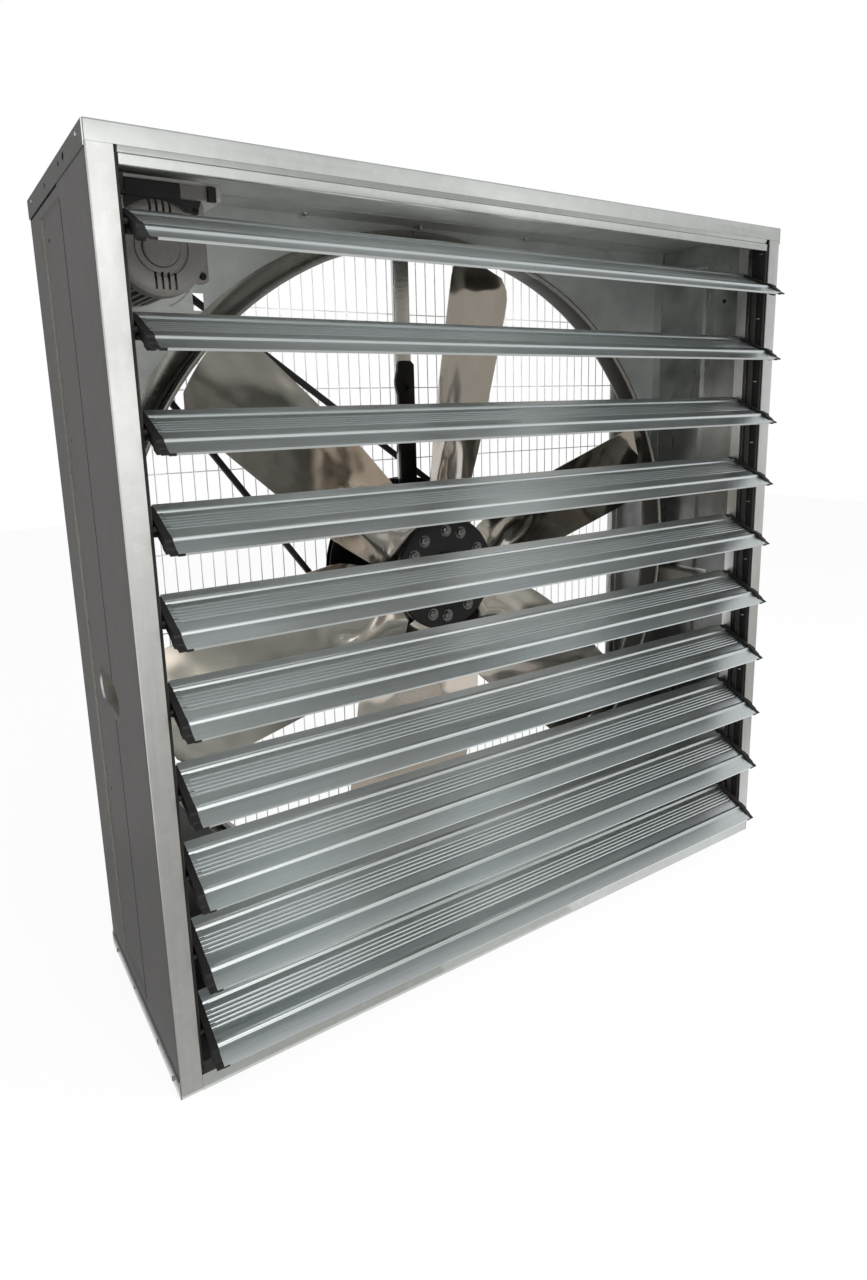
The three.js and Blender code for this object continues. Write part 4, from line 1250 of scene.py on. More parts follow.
@dataclass
class ShutterFrame(SubAssembly):
    """The shutter's rails, side channels and bearing strips."""

    face_y: float = -222.6
    face_step: float = 3.6
    face_bend: float = 1356.0
    foot: float = 46.0
    lip_z: Pair = (1332.0, 1347.0)
    lip_bend: float = 1.5
    lip_return: Pair = (9.0, 7.0)
    head_bend: float = 1.3
    fold_radius: float = 2.2
    sill_y: float = -218.0
    bottom_rise: float = 18.0
    rail_end: float = 649.6
    lining_x: float = 687.0
    front_y: float = -223.5
    channel_back: float = -157.5
    channel_lip_x: float = 646.0
    channel_front_leg: float = 31.0
    channel_lip: float = 25.0
    strip_x: float = 650.0
    strip_leg_x: float = 685.5
    strip_y: Pair = (-222.0, -187.0)
    strip_z: Pair = (35.5, 1344.5)
    strip_sheet: float = 2.0
    strip_bend: float = 2.4
    hole_radius: float = 4.45
    cut_reach: Pair = (4.0, 6.0)
    boss_wall: float = 2.5
    boss_depth: float = 2.4
    clip_x: Pair = (-0.35, 0.1)
    clip_y: Pair = (8.0, 17.0)
    clip_z: Pair = (58.5, 60.5)

    def build(self, pivots: Sequence[Vector]) -> None:
        """Makes the rails, channels and strips.

        Args:
            pivots: The louvres' pivots, from the top.
        """
        self._rails()
        for side in Side:
            self._channel(side)
            self._strip(side, pivots)

    def _rails(self) -> None:
        """Makes the top rail with its folded lip, and the bottom rail."""
        low, high = self.lip_z
        front = self.face_y
        inner = front + self.lip_return[0]
        line = [(front + self.foot, self.ceiling), (front, self.ceiling), (front, self.face_bend),
                (front + self.face_step, high), (front, high - self.lip_bend), (front, low), (inner, low),
                (inner, low + self.lip_return[1])]
        section = folded(line, self.sheet, self.head_bend)
        top = Shape().prism(section, Axis.X, -self.rail_end, self.rail_end)
        top.build("shutter_head_rail", LEVEL_SHEET, ["shutter_top_rail"])
        line = [(self.sill_y, self.floor + self.bottom_rise), (self.sill_y, self.floor),
                (self.sill_y + self.foot, self.floor)]
        section = folded(line, self.sheet, self.fold_radius)
        sill = Shape().prism(section, Axis.X, -self.rail_end, self.rail_end)
        sill.build("shutter_sill_rail", LEVEL_SHEET, ["shutter_bottom_rail"])

    def _channel(self, side: Side) -> None:
        """Makes the folded channel down one side.

        Args:
            side: The channel's side.
        """
        sign = side.value
        wall, lip = sign * self.lining_x, sign * self.channel_lip_x
        line = [
            (sign * (self.lining_x - self.channel_front_leg), self.front_y), (wall, self.front_y),
            (wall, self.channel_back), (lip, self.channel_back), (lip, self.channel_back - self.channel_lip),
        ]
        section = folded(line if sign > 0 else line[::-1], self.sheet, self.fold_radius)
        shape = Shape().prism(section, Axis.Z, self.floor, self.ceiling)
        name = f"shutter_channel_{side.label}"
        shape.build(f"{name}_folded", UPRIGHT_SHEET, [name])

    def _strip(self, side: Side, pivots: Sequence[Vector]) -> None:
        """Makes the black bearing strip with its pivot bosses and clips.

        Args:
            side: The strip's side.
            pivots: The louvres' pivots.
        """
        sign = side.value
        front, rear = self.strip_y
        line = [(sign * self.strip_leg_x, rear), (sign * self.strip_x, rear), (sign * self.strip_x, front),
                (sign * self.strip_leg_x, front)]
        section = folded(line if sign > 0 else line[::-1], self.strip_sheet, self.strip_bend)
        strip = Shape().prism(section, Axis.Z, *self.strip_z)
        holes, bosses, clips = Shape(), Shape(), Shape()
        outward = Vector((sign, 0, 0))
        bore, wall = self.hole_radius, self.hole_radius + self.boss_wall
        ring = [(bore, 0), (wall, 0), (wall, self.boss_depth), (bore, self.boss_depth)]
        for pivot in pivots:
            centre = Vector((sign * self.strip_x, pivot.y, pivot.z))
            ends = (centre - outward * self.cut_reach[0], centre + outward * self.cut_reach[1])
            holes.rod(*ends, bore, 20)
            bosses.turned(ring, centre + outward * self.strip_sheet, outward, 20, closed=True)
            left, right = sorted(sign * (self.strip_x + offset) for offset in self.clip_x)
            y, z = [front + offset for offset in self.clip_y], [pivot.z + offset for offset in self.clip_z]
            clips.block((left, right), (y[0], y[1]), (z[0], z[1]))
        strip.cut(holes).add(bosses)
        name = f"bearing_strip_{side.label}"
        strip.build(f"{name}_moulded", CAP_PLASTIC, [name])
        clips.build(f"{name}_clips", ZINC)


@dataclass
class Louvres:
    """The ten rolled louvres, their end caps and the two link rods."""

    tilt: float = math.radians(25.7)
    chord: float = 124.0
    sheet: float = 1.4
    end_x: float = 632.7
    ribs: Pair = (19.6, 90.5)
    rib_reach: float = 5.2
    rib_height: float = 3.2
    grooves: tuple[float, ...] = (37.0, 44.0, 51.0, 58.0, 65.0)
    groove_reach: float = 2.6
    groove_depth: float = 1.0
    hem: float = 2.2
    edge_step: float = 2.0
    fine_step: float = 0.65
    coarse_step: float = 1.3
    cap_x: Pair = (633.0, 644.0)
    cap_reach: Pair = (-64.4, 60.0)
    cap_over: tuple[Pair, ...] = (
        (54.0, 2.6), (30.0, 5.6), (-20.0, 6.4), (-24.0, 8.0), (-38.0, 8.0), (-41.0, 5.0),
        (-52.0, 3.4), (-54.0, 1.6),
    )
    cap_under: tuple[Pair, ...] = (
        (-54.0, -1.6), (-54.0, -4.0), (-47.0, -5.0), (-45.0, -10.5), (-31.0, -11.0), (-28.0, -8.0),
        (6.0, -8.0), (10.0, -10.0), (24.0, -9.0), (28.0, -5.0), (54.0, -3.0),
    )
    sleeve: float = 9.0
    sleeve_walls: Pair = (1.3, 1.2)
    lug_radius: float = 7.0
    crank_radius: float = 16.0
    crank_angle: float = math.radians(-45)
    pin_radius: float = 4.0
    stud_radius: float = 3.0
    pin_end: float = 654.0
    stud_end: float = 649.25
    rod_x: Pair = (645.5, 648.5)
    rod_width: float = 10.0
    rod_margin: float = 12.0
    rod_clearance: float = 0.45
    riveted: int = 5
    rivet_xs: Pair = (-26.0, 39.0)
    rivet_y: float = -15.5
    rivet_radius: float = 3.2
    smear_radius: float = 5.6
    smear_shift: Pair = (1.5, 1.0)

    def build(self, pivots: Sequence[Vector]) -> None:
        """Makes every louvre with its caps, and the rods.

        Args:
            pivots: The louvres' pivots, from the top.
        """
        for index, pivot in enumerate(pivots):
            name = f"louvre_{index + 1:02d}"
            self._blade(name, pivot)
            for side in Side:
                self._cap(name, pivot, side)
        self._rivets(pivots[self.riveted - 1])
        for side in Side:
            self._rod(side, pivots)

    def _height(self, along: float) -> float:
        """Works out the ribs and grooves of the blade's upper face.

        Args:
            along: The distance from the blade's inner edge.

        Returns:
            How far the face rises there.
        """
        rise = sum(self.rib_height * hump((along - rib) / self.rib_reach) for rib in self.ribs)
        drop = sum(self.groove_depth * hump((along - groove) / self.groove_reach) for groove in self.grooves)
        return rise - drop

    def _blade(self, name: str, pivot: Vector) -> None:
        """Makes one blade: ribs, grooves and a hem turned down at both edges.

        Args:
            name: The louvre's name.
            pivot: Its pivot.
        """
        along = [0.0, self.edge_step]
        while along[-1] < self.chord - 2 * self.edge_step:
            here = along[-1]
            curved = self._height(here + self.fine_step) or self._height(here)
            along.append(here + (self.fine_step if curved else self.coarse_step))
        along += [self.chord - self.edge_step, self.chord]
        top = [(self.chord / 2 - a, self._height(a)) for a in along]
        upper = [(top[0][0], -self.hem), *top, (top[-1][0], -self.hem)]
        section = [*upper, *reversed(beside(upper, -self.sheet))]
        placed = [(pivot.y + a, pivot.z + b) for a, b in section]
        shape = Shape().prism(placed, Axis.X, -self.end_x, self.end_x).tilted(pivot, self.tilt)
        shape.build(f"{name}_blade", LOUVRE_SHEET, [name], f"{name}_body", smooth=40)

    def _cap(self, name: str, pivot: Vector, side: Side) -> None:
        """Makes an end cap: stepped body, sleeve over the blade's end, pivot pin and crank stud.

        Args:
            name: The louvre's name.
            pivot: Its pivot.
            side: The cap's side.
        """
        sign, (outer, inner), (face, back) = side.value, self.cap_reach, self.cap_x
        body = [(inner, -1.0), (inner, 1.6), *self.cap_over, (outer, 1.4), (outer, -1.2), *self.cap_under]
        swing, reach = self.crank_angle, self.crank_radius
        crank = (reach * math.cos(swing), reach * math.sin(swing))

        def at(points: Iterable[Pair]) -> list[Pair]:
            """Moves points of the cap's own frame to the pivot."""
            return [(pivot.y + a, pivot.z + b) for a, b in points]

        shape = Shape()
        for outline in (body, arc(crank, self.lug_radius, 0, 345, 23)):
            shape.prism(at(outline), Axis.X, sign * face, sign * back)
        stations = [inner + (outer - inner) * i / 48 for i in range(49)]
        over = [(a, self.sleeve_walls[0] + self._height(self.chord / 2 - a)) for a in stations]
        under = [(a, -self.sheet - self.sleeve_walls[1]) for a in reversed(stations)]
        shape.prism(at([*over, *under]), Axis.X, sign * (face - self.sleeve), sign * (face + 1))
        pins = (((0.0, 0.0), self.pin_radius, self.pin_end), (crank, self.stud_radius, self.stud_end))
        for (a, b), radius, end in pins:
            start = Vector((sign * face, pivot.y + a, pivot.z + b))
            shape.rod(start, Vector((sign * end, start.y, start.z)), radius, 16)
        shape.tilted(pivot, self.tilt)
        node = f"{name}_cap_{side.label}"
        shape.build(f"{node}_moulded", CAP_PLASTIC, [node], f"{name}_body", bevel=0.5)

    def _rivets(self, pivot: Vector) -> None:
        """Makes the two small rivets in the middle louvre and the dark smears round them.

        Args:
            pivot: The louvre's pivot.
        """
        shape, smears = Shape(), Shape()
        up, shift = Vector((0, 0, 1)), Vector((*self.smear_shift, 0))
        radius, smear = self.rivet_radius, self.smear_radius
        for x in self.rivet_xs:
            base = Vector((x, pivot.y + self.rivet_y, pivot.z))
            shape.turned([(0, 1.6), (2.0, 1.3), (radius, 0.4), (radius, -0.2)], base, up, 14)
            smears.turned([(0, 0.3), (smear, 0.25), (smear + 0.6, -0.3)], base + shift, up, 20)
        body = f"louvre_{self.riveted:02d}_body"
        shape.tilted(pivot, self.tilt).build("louvre_middle_rivets", ZINC, body=body)
        smears.tilted(pivot, self.tilt).build("louvre_middle_rivet_smears", HOLE_SHADOW, body=body)

    def _rod(self, side: Side, pivots: Sequence[Vector]) -> None:
        """Makes the link rod of one side, with a hole for each stud.

        Args:
            side: The rod's side.
            pivots: The louvres' pivots, from the top.
        """
        rest = self.crank_angle + self.tilt
        y = pivots[0].y + self.crank_radius * math.cos(rest)
        drop = self.crank_radius * math.sin(rest)
        low, high = pivots[-1].z + drop - self.rod_margin, pivots[0].z + drop + self.rod_margin
        half = self.rod_width / 2
        outline = rounded_box((y - half, low), (y + half, high), half - 0.1, 8)
        bar = Shape().prism(outline, Axis.X, side.value * self.rod_x[0], side.value * self.rod_x[1])
        holes = Shape()
        for pivot in pivots:
            start = Vector((side.value * (self.rod_x[0] - 2), y, pivot.z + drop))
            end = start + Vector((side.value * 7, 0, 0))
            holes.rod(start, end, self.stud_radius + self.rod_clearance, 16)
        name = f"link_rod_{side.label}"
        bar.cut(holes).build(f"{name}_bar", ROD_STEEL, [name], f"rod_{side.label}", bevel=0.3)


@dataclass
class Rotor(SubAssembly):
    """The six blades, their hub and bolts, and the shaft."""

    hub_front: float = 37.0
    hub_rear: float = 51.0
    hub_radius: float = 118.0
    boss_radius: float = 36.0
    boss_rear: float = 85.0
    clearance: float = 0.3
    shaft_ends: Pair = (29.0, 216.5)
    blade_count: int = 6
    first_angle: float = math.radians(18)
    tip_radius: float = 635.0
    root_radius: float = 58.0
    chord: float = 210.0
    pitch: float = math.radians(32)
    setback: float = 18.0
    camber: float = 12.0
    blade_sheet: float = 2.0
    tip_corner: float = 42.0
    tip_share: float = 0.75
    pocket_depth: float = 9.0
    pocket_radius: float = 215.0
    pocket_reach: Pair = (75.0, 52.0)
    pocket_wall: float = 0.45
    bolt_circle: float = 90.0
    bolt_spread: float = math.radians(12)
    bolt_radius: float = 9.8
    bolt_height: float = 7.0
    washer: Pair = (12.8, 1.6)
    rows: int = 40
    columns: int = 18
    reach_shares: tuple[float, ...] = (-0.115, 0.0, 0.06, 0.16, 0.35, 0.58, 0.8, 0.93, 1.0)
    chord_shares: tuple[float, ...] = (0.24, 0.52, 0.7, 0.92, 1.03, 1.02, 1.0, 0.98, 0.94)
    pitch_shares: tuple[float, ...] = (0.0, 0.0, 0.55, 1.0, 0.97, 0.85, 0.72, 0.65, 0.62)
    setback_shares: tuple[float, ...] = (0.0, 0.0, 0.4, 1.0, 1.0, 1.0, 1.0, 1.0, 1.0)

    def build(self) -> None:
        """Makes the rotor's pieces."""
        angles = [self.first_angle + i * 2 * math.pi / self.blade_count for i in range(self.blade_count)]
        for index, angle in enumerate(angles):
            self._blade(index + 1, angle)
        self._hub(angles)
        self._shaft()

    def _share(self, shares: Sequence[float], radius: float) -> float:
        """Works out a smooth value between the shares given along the blade.

        Args:
            shares: A share for each of the blade's reach_shares.
            radius: The distance from the axis.

        Returns:
            The share at that radius.
        """
        root = self.hub_radius + self.blade_sheet
        reach = (radius - root) / (self.tip_radius - root)
        last = len(self.reach_shares) - 2
        i = next((k for k in range(last) if reach <= self.reach_shares[k + 1]), last)
        low, high = self.reach_shares[i], self.reach_shares[i + 1]
        here, there = shares[i], shares[i + 1]
        if abs(here - there) < 1e-9:
            return here
        slope_here = (there - shares[max(i - 1, 0)]) / 2
        slope_there = (shares[min(i + 2, last + 1)] - here) / 2
        share = min(max((reach - low) / (high - low), 0.0), 1.0)
        cube, square = share ** 3, share ** 2
        return ((2 * cube - 3 * square + 1) * here + (cube - 2 * square + share) * slope_here
                + (3 * square - 2 * cube) * there + (cube - square) * slope_there)

    def _blade(self, number: int, angle: float) -> None:
        """Makes one pressed blade: flat root tab, twisted wing with a pocket, and a round tip.

        Args:
            number: The blade's number, from 1.
            angle: The angle of its middle line.
        """
        tab_y, corner = self.hub_rear + self.clearance + self.blade_sheet / 2, self.tip_corner

        def grid(lift: float) -> list[list[Vector]]:
            """Places the points of one face.

            Args:
                lift: How far the face lies behind the blade's middle.

            Returns:
                Rows of points from the root to the tip.
            """
            rows = []
            for i in range(self.rows + 1):
                radius = self.root_radius + (self.tip_radius - self.root_radius) * i / self.rows
                width = self.chord * self._share(self.chord_shares, radius)
                left = self.tip_radius - radius
                if left < corner:
                    round_off = corner - math.sqrt(max(corner ** 2 - (corner - left) ** 2, 0))
                    width -= 2 * round_off * self.tip_share
                pitch = self._share(self.pitch_shares, radius)
                back = self._share(self.setback_shares, radius) * self.setback
                row = []
                for j in range(self.columns + 1):
                    across = j / self.columns - 0.5
                    offset = across * width
                    arch = pitch * self.camber * (1 - 4 * across * across)
                    pocket = math.hypot((radius - self.pocket_radius) / self.pocket_reach[0],
                                        offset / self.pocket_reach[1])
                    y = tab_y + back - pitch * math.tan(self.pitch) * offset + arch + lift
                    y -= self.pocket_depth * step(1 - pocket, 0.0, self.pocket_wall)
                    turn = offset / radius
                    flat = Vector((radius * math.cos(turn), y, self.axis_z + radius * math.sin(turn)))
                    row.append(turn_about_y(flat, angle, self.axis_z))
                rows.append(row)
            return rows

        half = self.blade_sheet / 2
        shape = Shape().slab(grid(-half), grid(half))
        node = f"fan_blade_{number}"
        shape.build(f"{node}_pressed", POLISHED_PAINTED_REFLECTION, [node], Body.ROTOR.value, smooth=50)

    def _hub(self, angles: Sequence[float]) -> None:
        """Makes the hub's disc and its bolts.

        Args:
            angles: The angles of the blades.
        """
        front, rear, bore = self.hub_front, self.hub_rear, self.shaft_radius + self.clearance
        edge, wall, end = self.hub_radius, self.boss_radius, self.boss_rear
        profile = [
            (bore, front - 3), (44, front - 3), (46, front - 2.2), (47, front), (72, front + 0.4),
            (75, front), (edge - 2, front), (edge, front + 2), (edge, rear - 2), (edge - 2, rear),
            (wall, rear), (wall, end - 2), (wall - 2, end), (bore, end),
        ]
        axis, way = Vector((0, 0, self.axis_z)), Vector((0, 1, 0))
        hub = Shape().turned(profile, axis, way, 72, closed=True)
        hub.build("fan_hub_disc", BLACK_ENAMEL, ["fan_hub"], Body.ROTOR.value)
        bolts = Shape()
        out = Vector((0, -1, 0))
        radius, rise = self.washer
        washer = [(0, rise), (radius - 0.4, rise), (radius, rise - 0.4), (radius, 0)]
        for blade in angles:
            for spread in (-self.bolt_spread, self.bolt_spread):
                turn = blade + spread
                x, z = self.bolt_circle * math.cos(turn), self.bolt_circle * math.sin(turn)
                base = Vector((x, front, self.axis_z + z))
                bolts.turned(washer, base, out, 24)
                bolts.hexagon(base + out * rise, out, self.bolt_radius, self.bolt_height - rise, turn)
        bolts.build("fan_hub_bolts", BOLT_STEEL, body=Body.ROTOR.value)

    def _shaft(self) -> None:
        """Makes the shaft with its chamfered nose and tail."""
        (start, end), radius = self.shaft_ends, self.shaft_radius
        profile = [(0, start), (radius - 3, start), (radius, start + 3), (radius, end - 2), (radius - 2, end),
                   (0, end)]
        shape = Shape().turned(profile, Vector((0, 0, self.axis_z)), Vector((0, 1, 0)), 40)
        shape.build("fan_shaft_ground", ZINC, ["fan_shaft"], Body.ROTOR.value)


@dataclass
class BeltDrive(SubAssembly):
    """The beam, the bearing housing, the pulleys and the belt."""

    belt_y: Pair = (198.0, 211.0)
    belt_height: float = 11.0
    belt_taper: float = 2.6
    wrap_steps: int = 48
    driven_radius: float = 185.0
    drive_radius: float = 58.0
    lip: float = 6.0
    pulley_y: Pair = (194.5, 214.5)
    motor_shaft: Pair = (92.3, 12.0)
    collar_radius: float = 25.0
    beam_half: float = 19.0
    beam_y: Pair = (181.5, 191.5)
    beam_sheet: float = 2.0
    beam_bore: float = 16.5
    beam_foot: float = 28.0
    housing_y: Pair = (173.2, 181.2)
    housing_half: Pair = (20.0, 437.0)
    boss_radius: float = 44.0
    boss_front: float = 131.2
    lobe_width: float = 7.0
    lobe_half: float = 34.0
    lobe_reach: float = 392.0
    bolt_spots: tuple[Triple, ...] = (
        (2.6, 381.0, 4.6), (2.6, -381.0, 4.6), (0.0, 130.0, 8.6), (0.0, -130.0, 8.6),
    )

    def build(self) -> None:
        """Makes the drive's pieces."""
        self._beam()
        self._housing()
        self._pulleys()
        self._belt()

    def _beam(self) -> None:
        """Makes the upright beam with its feet."""
        front, rear = self.beam_y
        half = self.beam_half
        line = [(-half, rear), (-half, front), (half, front), (half, rear)]
        shape = Shape().prism(folded(line, self.beam_sheet, 3.0), Axis.Z, self.floor, self.ceiling)
        ends = (Vector((0, front - 4, self.axis_z)), Vector((0, rear + 4, self.axis_z)))
        shape.cut(Shape().rod(*ends, self.beam_bore, 40))
        for low in (self.floor, self.ceiling - self.beam_sheet):
            shape.block((-half, half), (front, front + self.beam_foot), (low, low + self.beam_sheet))
        shape.build("support_beam_folded", LEVEL_SHEET, ["support_beam"])

    def _housing(self) -> None:
        """Makes the bearing housing: strap with two lobes, flared boss and bolts."""
        front, rear = self.housing_y
        half_x, half_z = self.housing_half
        out, axis = Vector((0, -1, 0)), Vector((0, 0, self.axis_z))
        left = []
        for i in range(81):
            z = (half_z - 8) * (1 - i / 40)
            swell = hump((abs(z) - self.lobe_reach) / self.lobe_half)
            left.append((-half_x - self.lobe_width * swell, self.axis_z + z))
        right = [(half_x, self.axis_z - half_z + 8), (half_x, self.axis_z + half_z - 8)]
        ends = [(half_x - 8, self.axis_z + half_z), (8 - half_x, self.axis_z + half_z)]
        tails = [(8 - half_x, self.axis_z - half_z), (half_x - 8, self.axis_z - half_z)]
        shape = Shape().prism([*left, *tails, *right, *ends], Axis.Y, front, rear)
        bore = self.shaft_radius + 0.6
        wall, nose = self.boss_radius, -self.boss_front
        boss = [(bore, -rear), (wall + 16, -rear), (wall + 6, -front + 4), (wall, -front + 16),
                (wall, nose - 3), (wall - 3, nose), (bore + 8, nose), (bore + 7, nose - 3), (bore, nose - 3)]
        shape.turned(boss, axis, out, 56, closed=True)
        shape.build("bearing_housing_cast", BLACK_ENAMEL, ["bearing_housing"], bevel=0.8)
        bolts = Shape()
        for x, z, radius in self.bolt_spots:
            base = Vector((x, front, self.axis_z + z))
            bolts.turned([(0, 1.8), (radius * 1.4, 1.8), (radius * 1.4, 0)], base, out, 24)
            bolts.hexagon(base + out * 1.8, out, radius, 6.5, 0.3)
        bolts.build("bearing_housing_bolts", BLACK_ENAMEL)

    def _rim(self, radius: float, inner: float) -> list[Pair]:
        """Draws a V-grooved rim's section.

        Args:
            radius: The radius at which the belt runs.
            inner: The radius inside the rim.

        Returns:
            The section's points from the front to the rear.
        """
        front, rear = self.pulley_y
        lip, core = radius + self.lip, radius - self.belt_height / 2 - 1.4
        return [(inner, front), (lip - 1, front), (lip, front + 1), (lip, front + 2.4), (core, front + 4.4),
                (core, rear - 4.4), (lip, rear - 2.4), (lip, rear - 1), (lip - 1, rear), (inner, rear)]

    def _pulleys(self) -> None:
        """Makes the driven pulley with its web and boss, and the motor's pulley on its shaft."""
        way = Vector((0, 1, 0))
        front, rear = self.pulley_y
        middle = (front + rear) / 2
        inner = self.driven_radius - self.belt_height / 2 - 10.4
        bore = self.shaft_radius + 0.3
        profile = [(inner, middle - 3), *self._rim(self.driven_radius, inner), (inner, middle + 3),
                   (38, middle + 3), (34, middle + 5), (32, rear - 1), (31, rear), (bore, rear),
                   (bore, front), (31, front), (32, front + 1), (34, middle - 5), (38, middle - 3)]
        wheel = Shape().turned(profile, Vector((0, 0, self.axis_z)), way, 96, closed=True)
        wheel.build("driven_pulley_cast", BLACK_ENAMEL, ["driven_pulley"], Body.ROTOR.value)
        x, z = self.motor_axis
        origin, (shaft_start, shaft), collar = Vector((x, 0, z)), self.motor_shaft, self.collar_radius
        small = Shape().turned(self._rim(self.drive_radius, 6.0), origin, way, 56, closed=True)
        small.rod(Vector((x, shaft_start, z)), Vector((x, rear, z)), shaft, 32)
        ring = [(shaft, front - 12), (collar - 1, front - 12), (collar, front - 11), (collar, front),
                (shaft, front)]
        small.turned(ring, origin, way, 40, closed=True)
        small.build("motor_pulley_cast", BLACK_ENAMEL, ["motor_pulley"], Body.MOTOR.value)

    def _belt(self) -> None:
        """Makes the V-belt: a tapered section carried round both pulleys."""
        x, rise = self.motor_axis[0], self.motor_axis[1] - self.axis_z
        lean = math.atan2(rise, x)
        wrap = math.acos((self.driven_radius - self.drive_radius) / math.hypot(x, rise))
        path: list[tuple[Pair, float, float]] = []
        steps = self.wrap_steps
        for i in range(steps + 1):
            angle = lean + wrap + (2 * math.pi - 2 * wrap) * i / steps
            path.append(((0.0, self.axis_z), self.driven_radius, angle))
        for i in range(steps + 1):
            path.append((self.motor_axis, self.drive_radius, lean - wrap + 2 * wrap * i / steps))
        half, front, rear = self.belt_height / 2, *self.belt_y
        taper = self.belt_taper
        corners = ((half, front), (half, rear), (-half, rear - taper), (-half, front + taper))
        loops = []
        for (x, z), radius, angle in path:
            across, up = math.cos(angle), math.sin(angle)
            loops.append([Vector((x + (radius + a) * across, y, z + (radius + a) * up)) for a, y in corners])
        shape = Shape().bridge([*loops, loops[0]])
        shape.build("drive_belt_loop", BELT_RUBBER, ["drive_belt"], smooth=30)


@dataclass
class Motor(SubAssembly):
    """The motor with its end cover, and the bracket that hangs it from the ceiling."""

    cover_front: float = -105.0
    cover_rear: float = -77.0
    cover_radius: float = 67.0
    square_x: Pair = (-67.0, 69.0)
    square_z: Pair = (-44.0, 67.0)
    square_front: float = -93.0
    cover_bolts: tuple[Pair, ...] = ((60.0, -34.6), (-57.0, -34.6), (56.0, 55.0), (-56.0, 55.0))
    slot_shift: float = 3.7
    slot_pitch: float = 9.4
    slot_width: float = 3.6
    slot_reach: tuple[Pair, ...] = ((-56.5, -33.0), (38.0, 70.0))
    slot_count: int = 4
    body_y: Pair = (-76.7, 76.0)
    body_radius: float = 56.0
    fin_height: float = 6.0
    fin_count: int = 36
    nose_radius: float = 34.0
    nose_end: float = 92.0
    foot: tuple[Pair, float] = ((-46.7, 31.0), 44.0)
    box_y: Pair = (-42.35, 41.65)
    box_x: Pair = (-88.0, -28.0)
    box_half: float = 29.0
    lid_x: Pair = (-92.0, -87.0)
    lid_lip: float = 2.0
    gland_x: float = -60.0
    hanger_x: Pair = (-616.0, -480.0)
    hanger_y: Pair = (-105.0, 36.0)
    hanger_z: float = 1331.0
    hanger_sheet: float = 4.0
    hem_top: float = 1354.0
    leg_rears: Pair = (-26.0, 10.0)
    leg_flange: float = 18.0
    bend: float = 5.5
    hanger_bolt_xs: Pair = (20.0, -48.0)
    hanger_bolt_ys: Pair = (-40.0, 21.0)

    def build(self) -> None:
        """Makes the motor's pieces and its bracket."""
        self._cover()
        self._body()
        self._hanger()

    def _cover(self) -> None:
        """Makes the end cover: lugged square, round shoulder, raised disc, boss and slots."""
        x, z = self.motor_axis
        origin, out = Vector((x, 0, z)), Vector((0, -1, 0))
        face, edge = -self.cover_front - 5, self.cover_radius
        profile = [(0, -self.cover_rear), (edge, -self.cover_rear), (edge, face - 9), (edge - 2, face - 5),
                   (edge - 7, face - 1.5), (edge - 13, face), (39.8, face), (38.8, face - 2.4),
                   (36.4, face - 2.4), (35.4, face + 0.4), (27.6, face + 0.6), (26.6, face - 0.8),
                   (25.8, face + 4.0), (24.0, face + 5), (0, face + 5)]
        cover = Shape().turned(profile, origin, out, 72)
        slots = Shape()
        first = x + self.slot_shift - self.slot_pitch * (self.slot_count - 1) / 2
        for low, high in self.slot_reach:
            for i in range(self.slot_count):
                middle = first + i * self.slot_pitch
                slots.block((middle - self.slot_width / 2, middle + self.slot_width / 2),
                            (self.cover_front - 2, -face + 7), (z + low, z + high))
        cover.cut(slots)
        (left, right), (bottom, top) = self.square_x, self.square_z
        square = rounded_box((x + left, z + bottom), (x + right, z + top), 6)
        cover.prism(square, Axis.Y, self.square_front, self.cover_rear)
        cover.build("motor_end_cover_cast", MOTOR_ENAMEL, ["motor_end_cover"], smooth=28)
        bolts = Shape()
        for a, b in self.cover_bolts:
            base = Vector((x + a, self.square_front, z + b))
            bolts.turned([(0, 1.0), (5.6, 1.0), (5.6, 0)], base, out, 20)
            bolts.hexagon(base + out, out, 4.6, 4.2, 0.4)
        bolts.build("motor_cover_bolts", BLACK_ENAMEL)

    def _body(self) -> None:
        """Makes the finned body with its foot, nose, terminal box and cable gland."""
        x, z = self.motor_axis
        pitch = 2 * math.pi / self.fin_count
        outline = []
        for i in range(self.fin_count):
            for across, up in ((-0.3, 0.0), (-0.16, 1.0), (0.16, 1.0), (0.3, 0.0)):
                radius = self.body_radius + up * self.fin_height
                turn = (i + across) * pitch
                outline.append((x + radius * math.cos(turn), z + radius * math.sin(turn)))
        shape = Shape().prism(outline, Axis.Y, self.body_y[0], self.body_y[1] - 14)
        way, origin = Vector((0, 1, 0)), Vector((x, 0, z))
        rear, nose, end = self.body_y[1], self.nose_radius, self.nose_end
        shield = [(0, rear - 14), (62, rear - 14), (62, rear - 5), (57, rear), (nose, rear + 2),
                  (nose, end - 2), (nose - 2, end), (0, end)]
        shape.turned(shield, origin, way, 64)
        foot_top, (foot_y, foot_half) = self.hanger_z - 0.3, self.foot
        shape.block((x - foot_half, x + foot_half), foot_y, (foot_top - 8, foot_top))
        for (left, right), lip, radius in ((self.box_x, 0.0, 5), (self.lid_x, self.lid_lip, 6)):
            low = (self.box_y[0] - lip, z - self.box_half - lip)
            high = (self.box_y[1] + lip, z + self.box_half + lip)
            shape.prism(rounded_box(low, high, radius), Axis.X, x + left, x + right)
        shape.build("motor_body_finned", MOTOR_ENAMEL, ["motor_body"], smooth=28)
        gland = Shape()
        base, down = Vector((x + self.gland_x, 0, z - self.box_half)), Vector((0, 0, -1))
        gland.hexagon(base, down, 11, 8)
        gland.turned([(0, 14), (6, 14), (8, 12), (8, 6)], base, down, 24)
        gland.build("motor_cable_gland", CAP_PLASTIC)

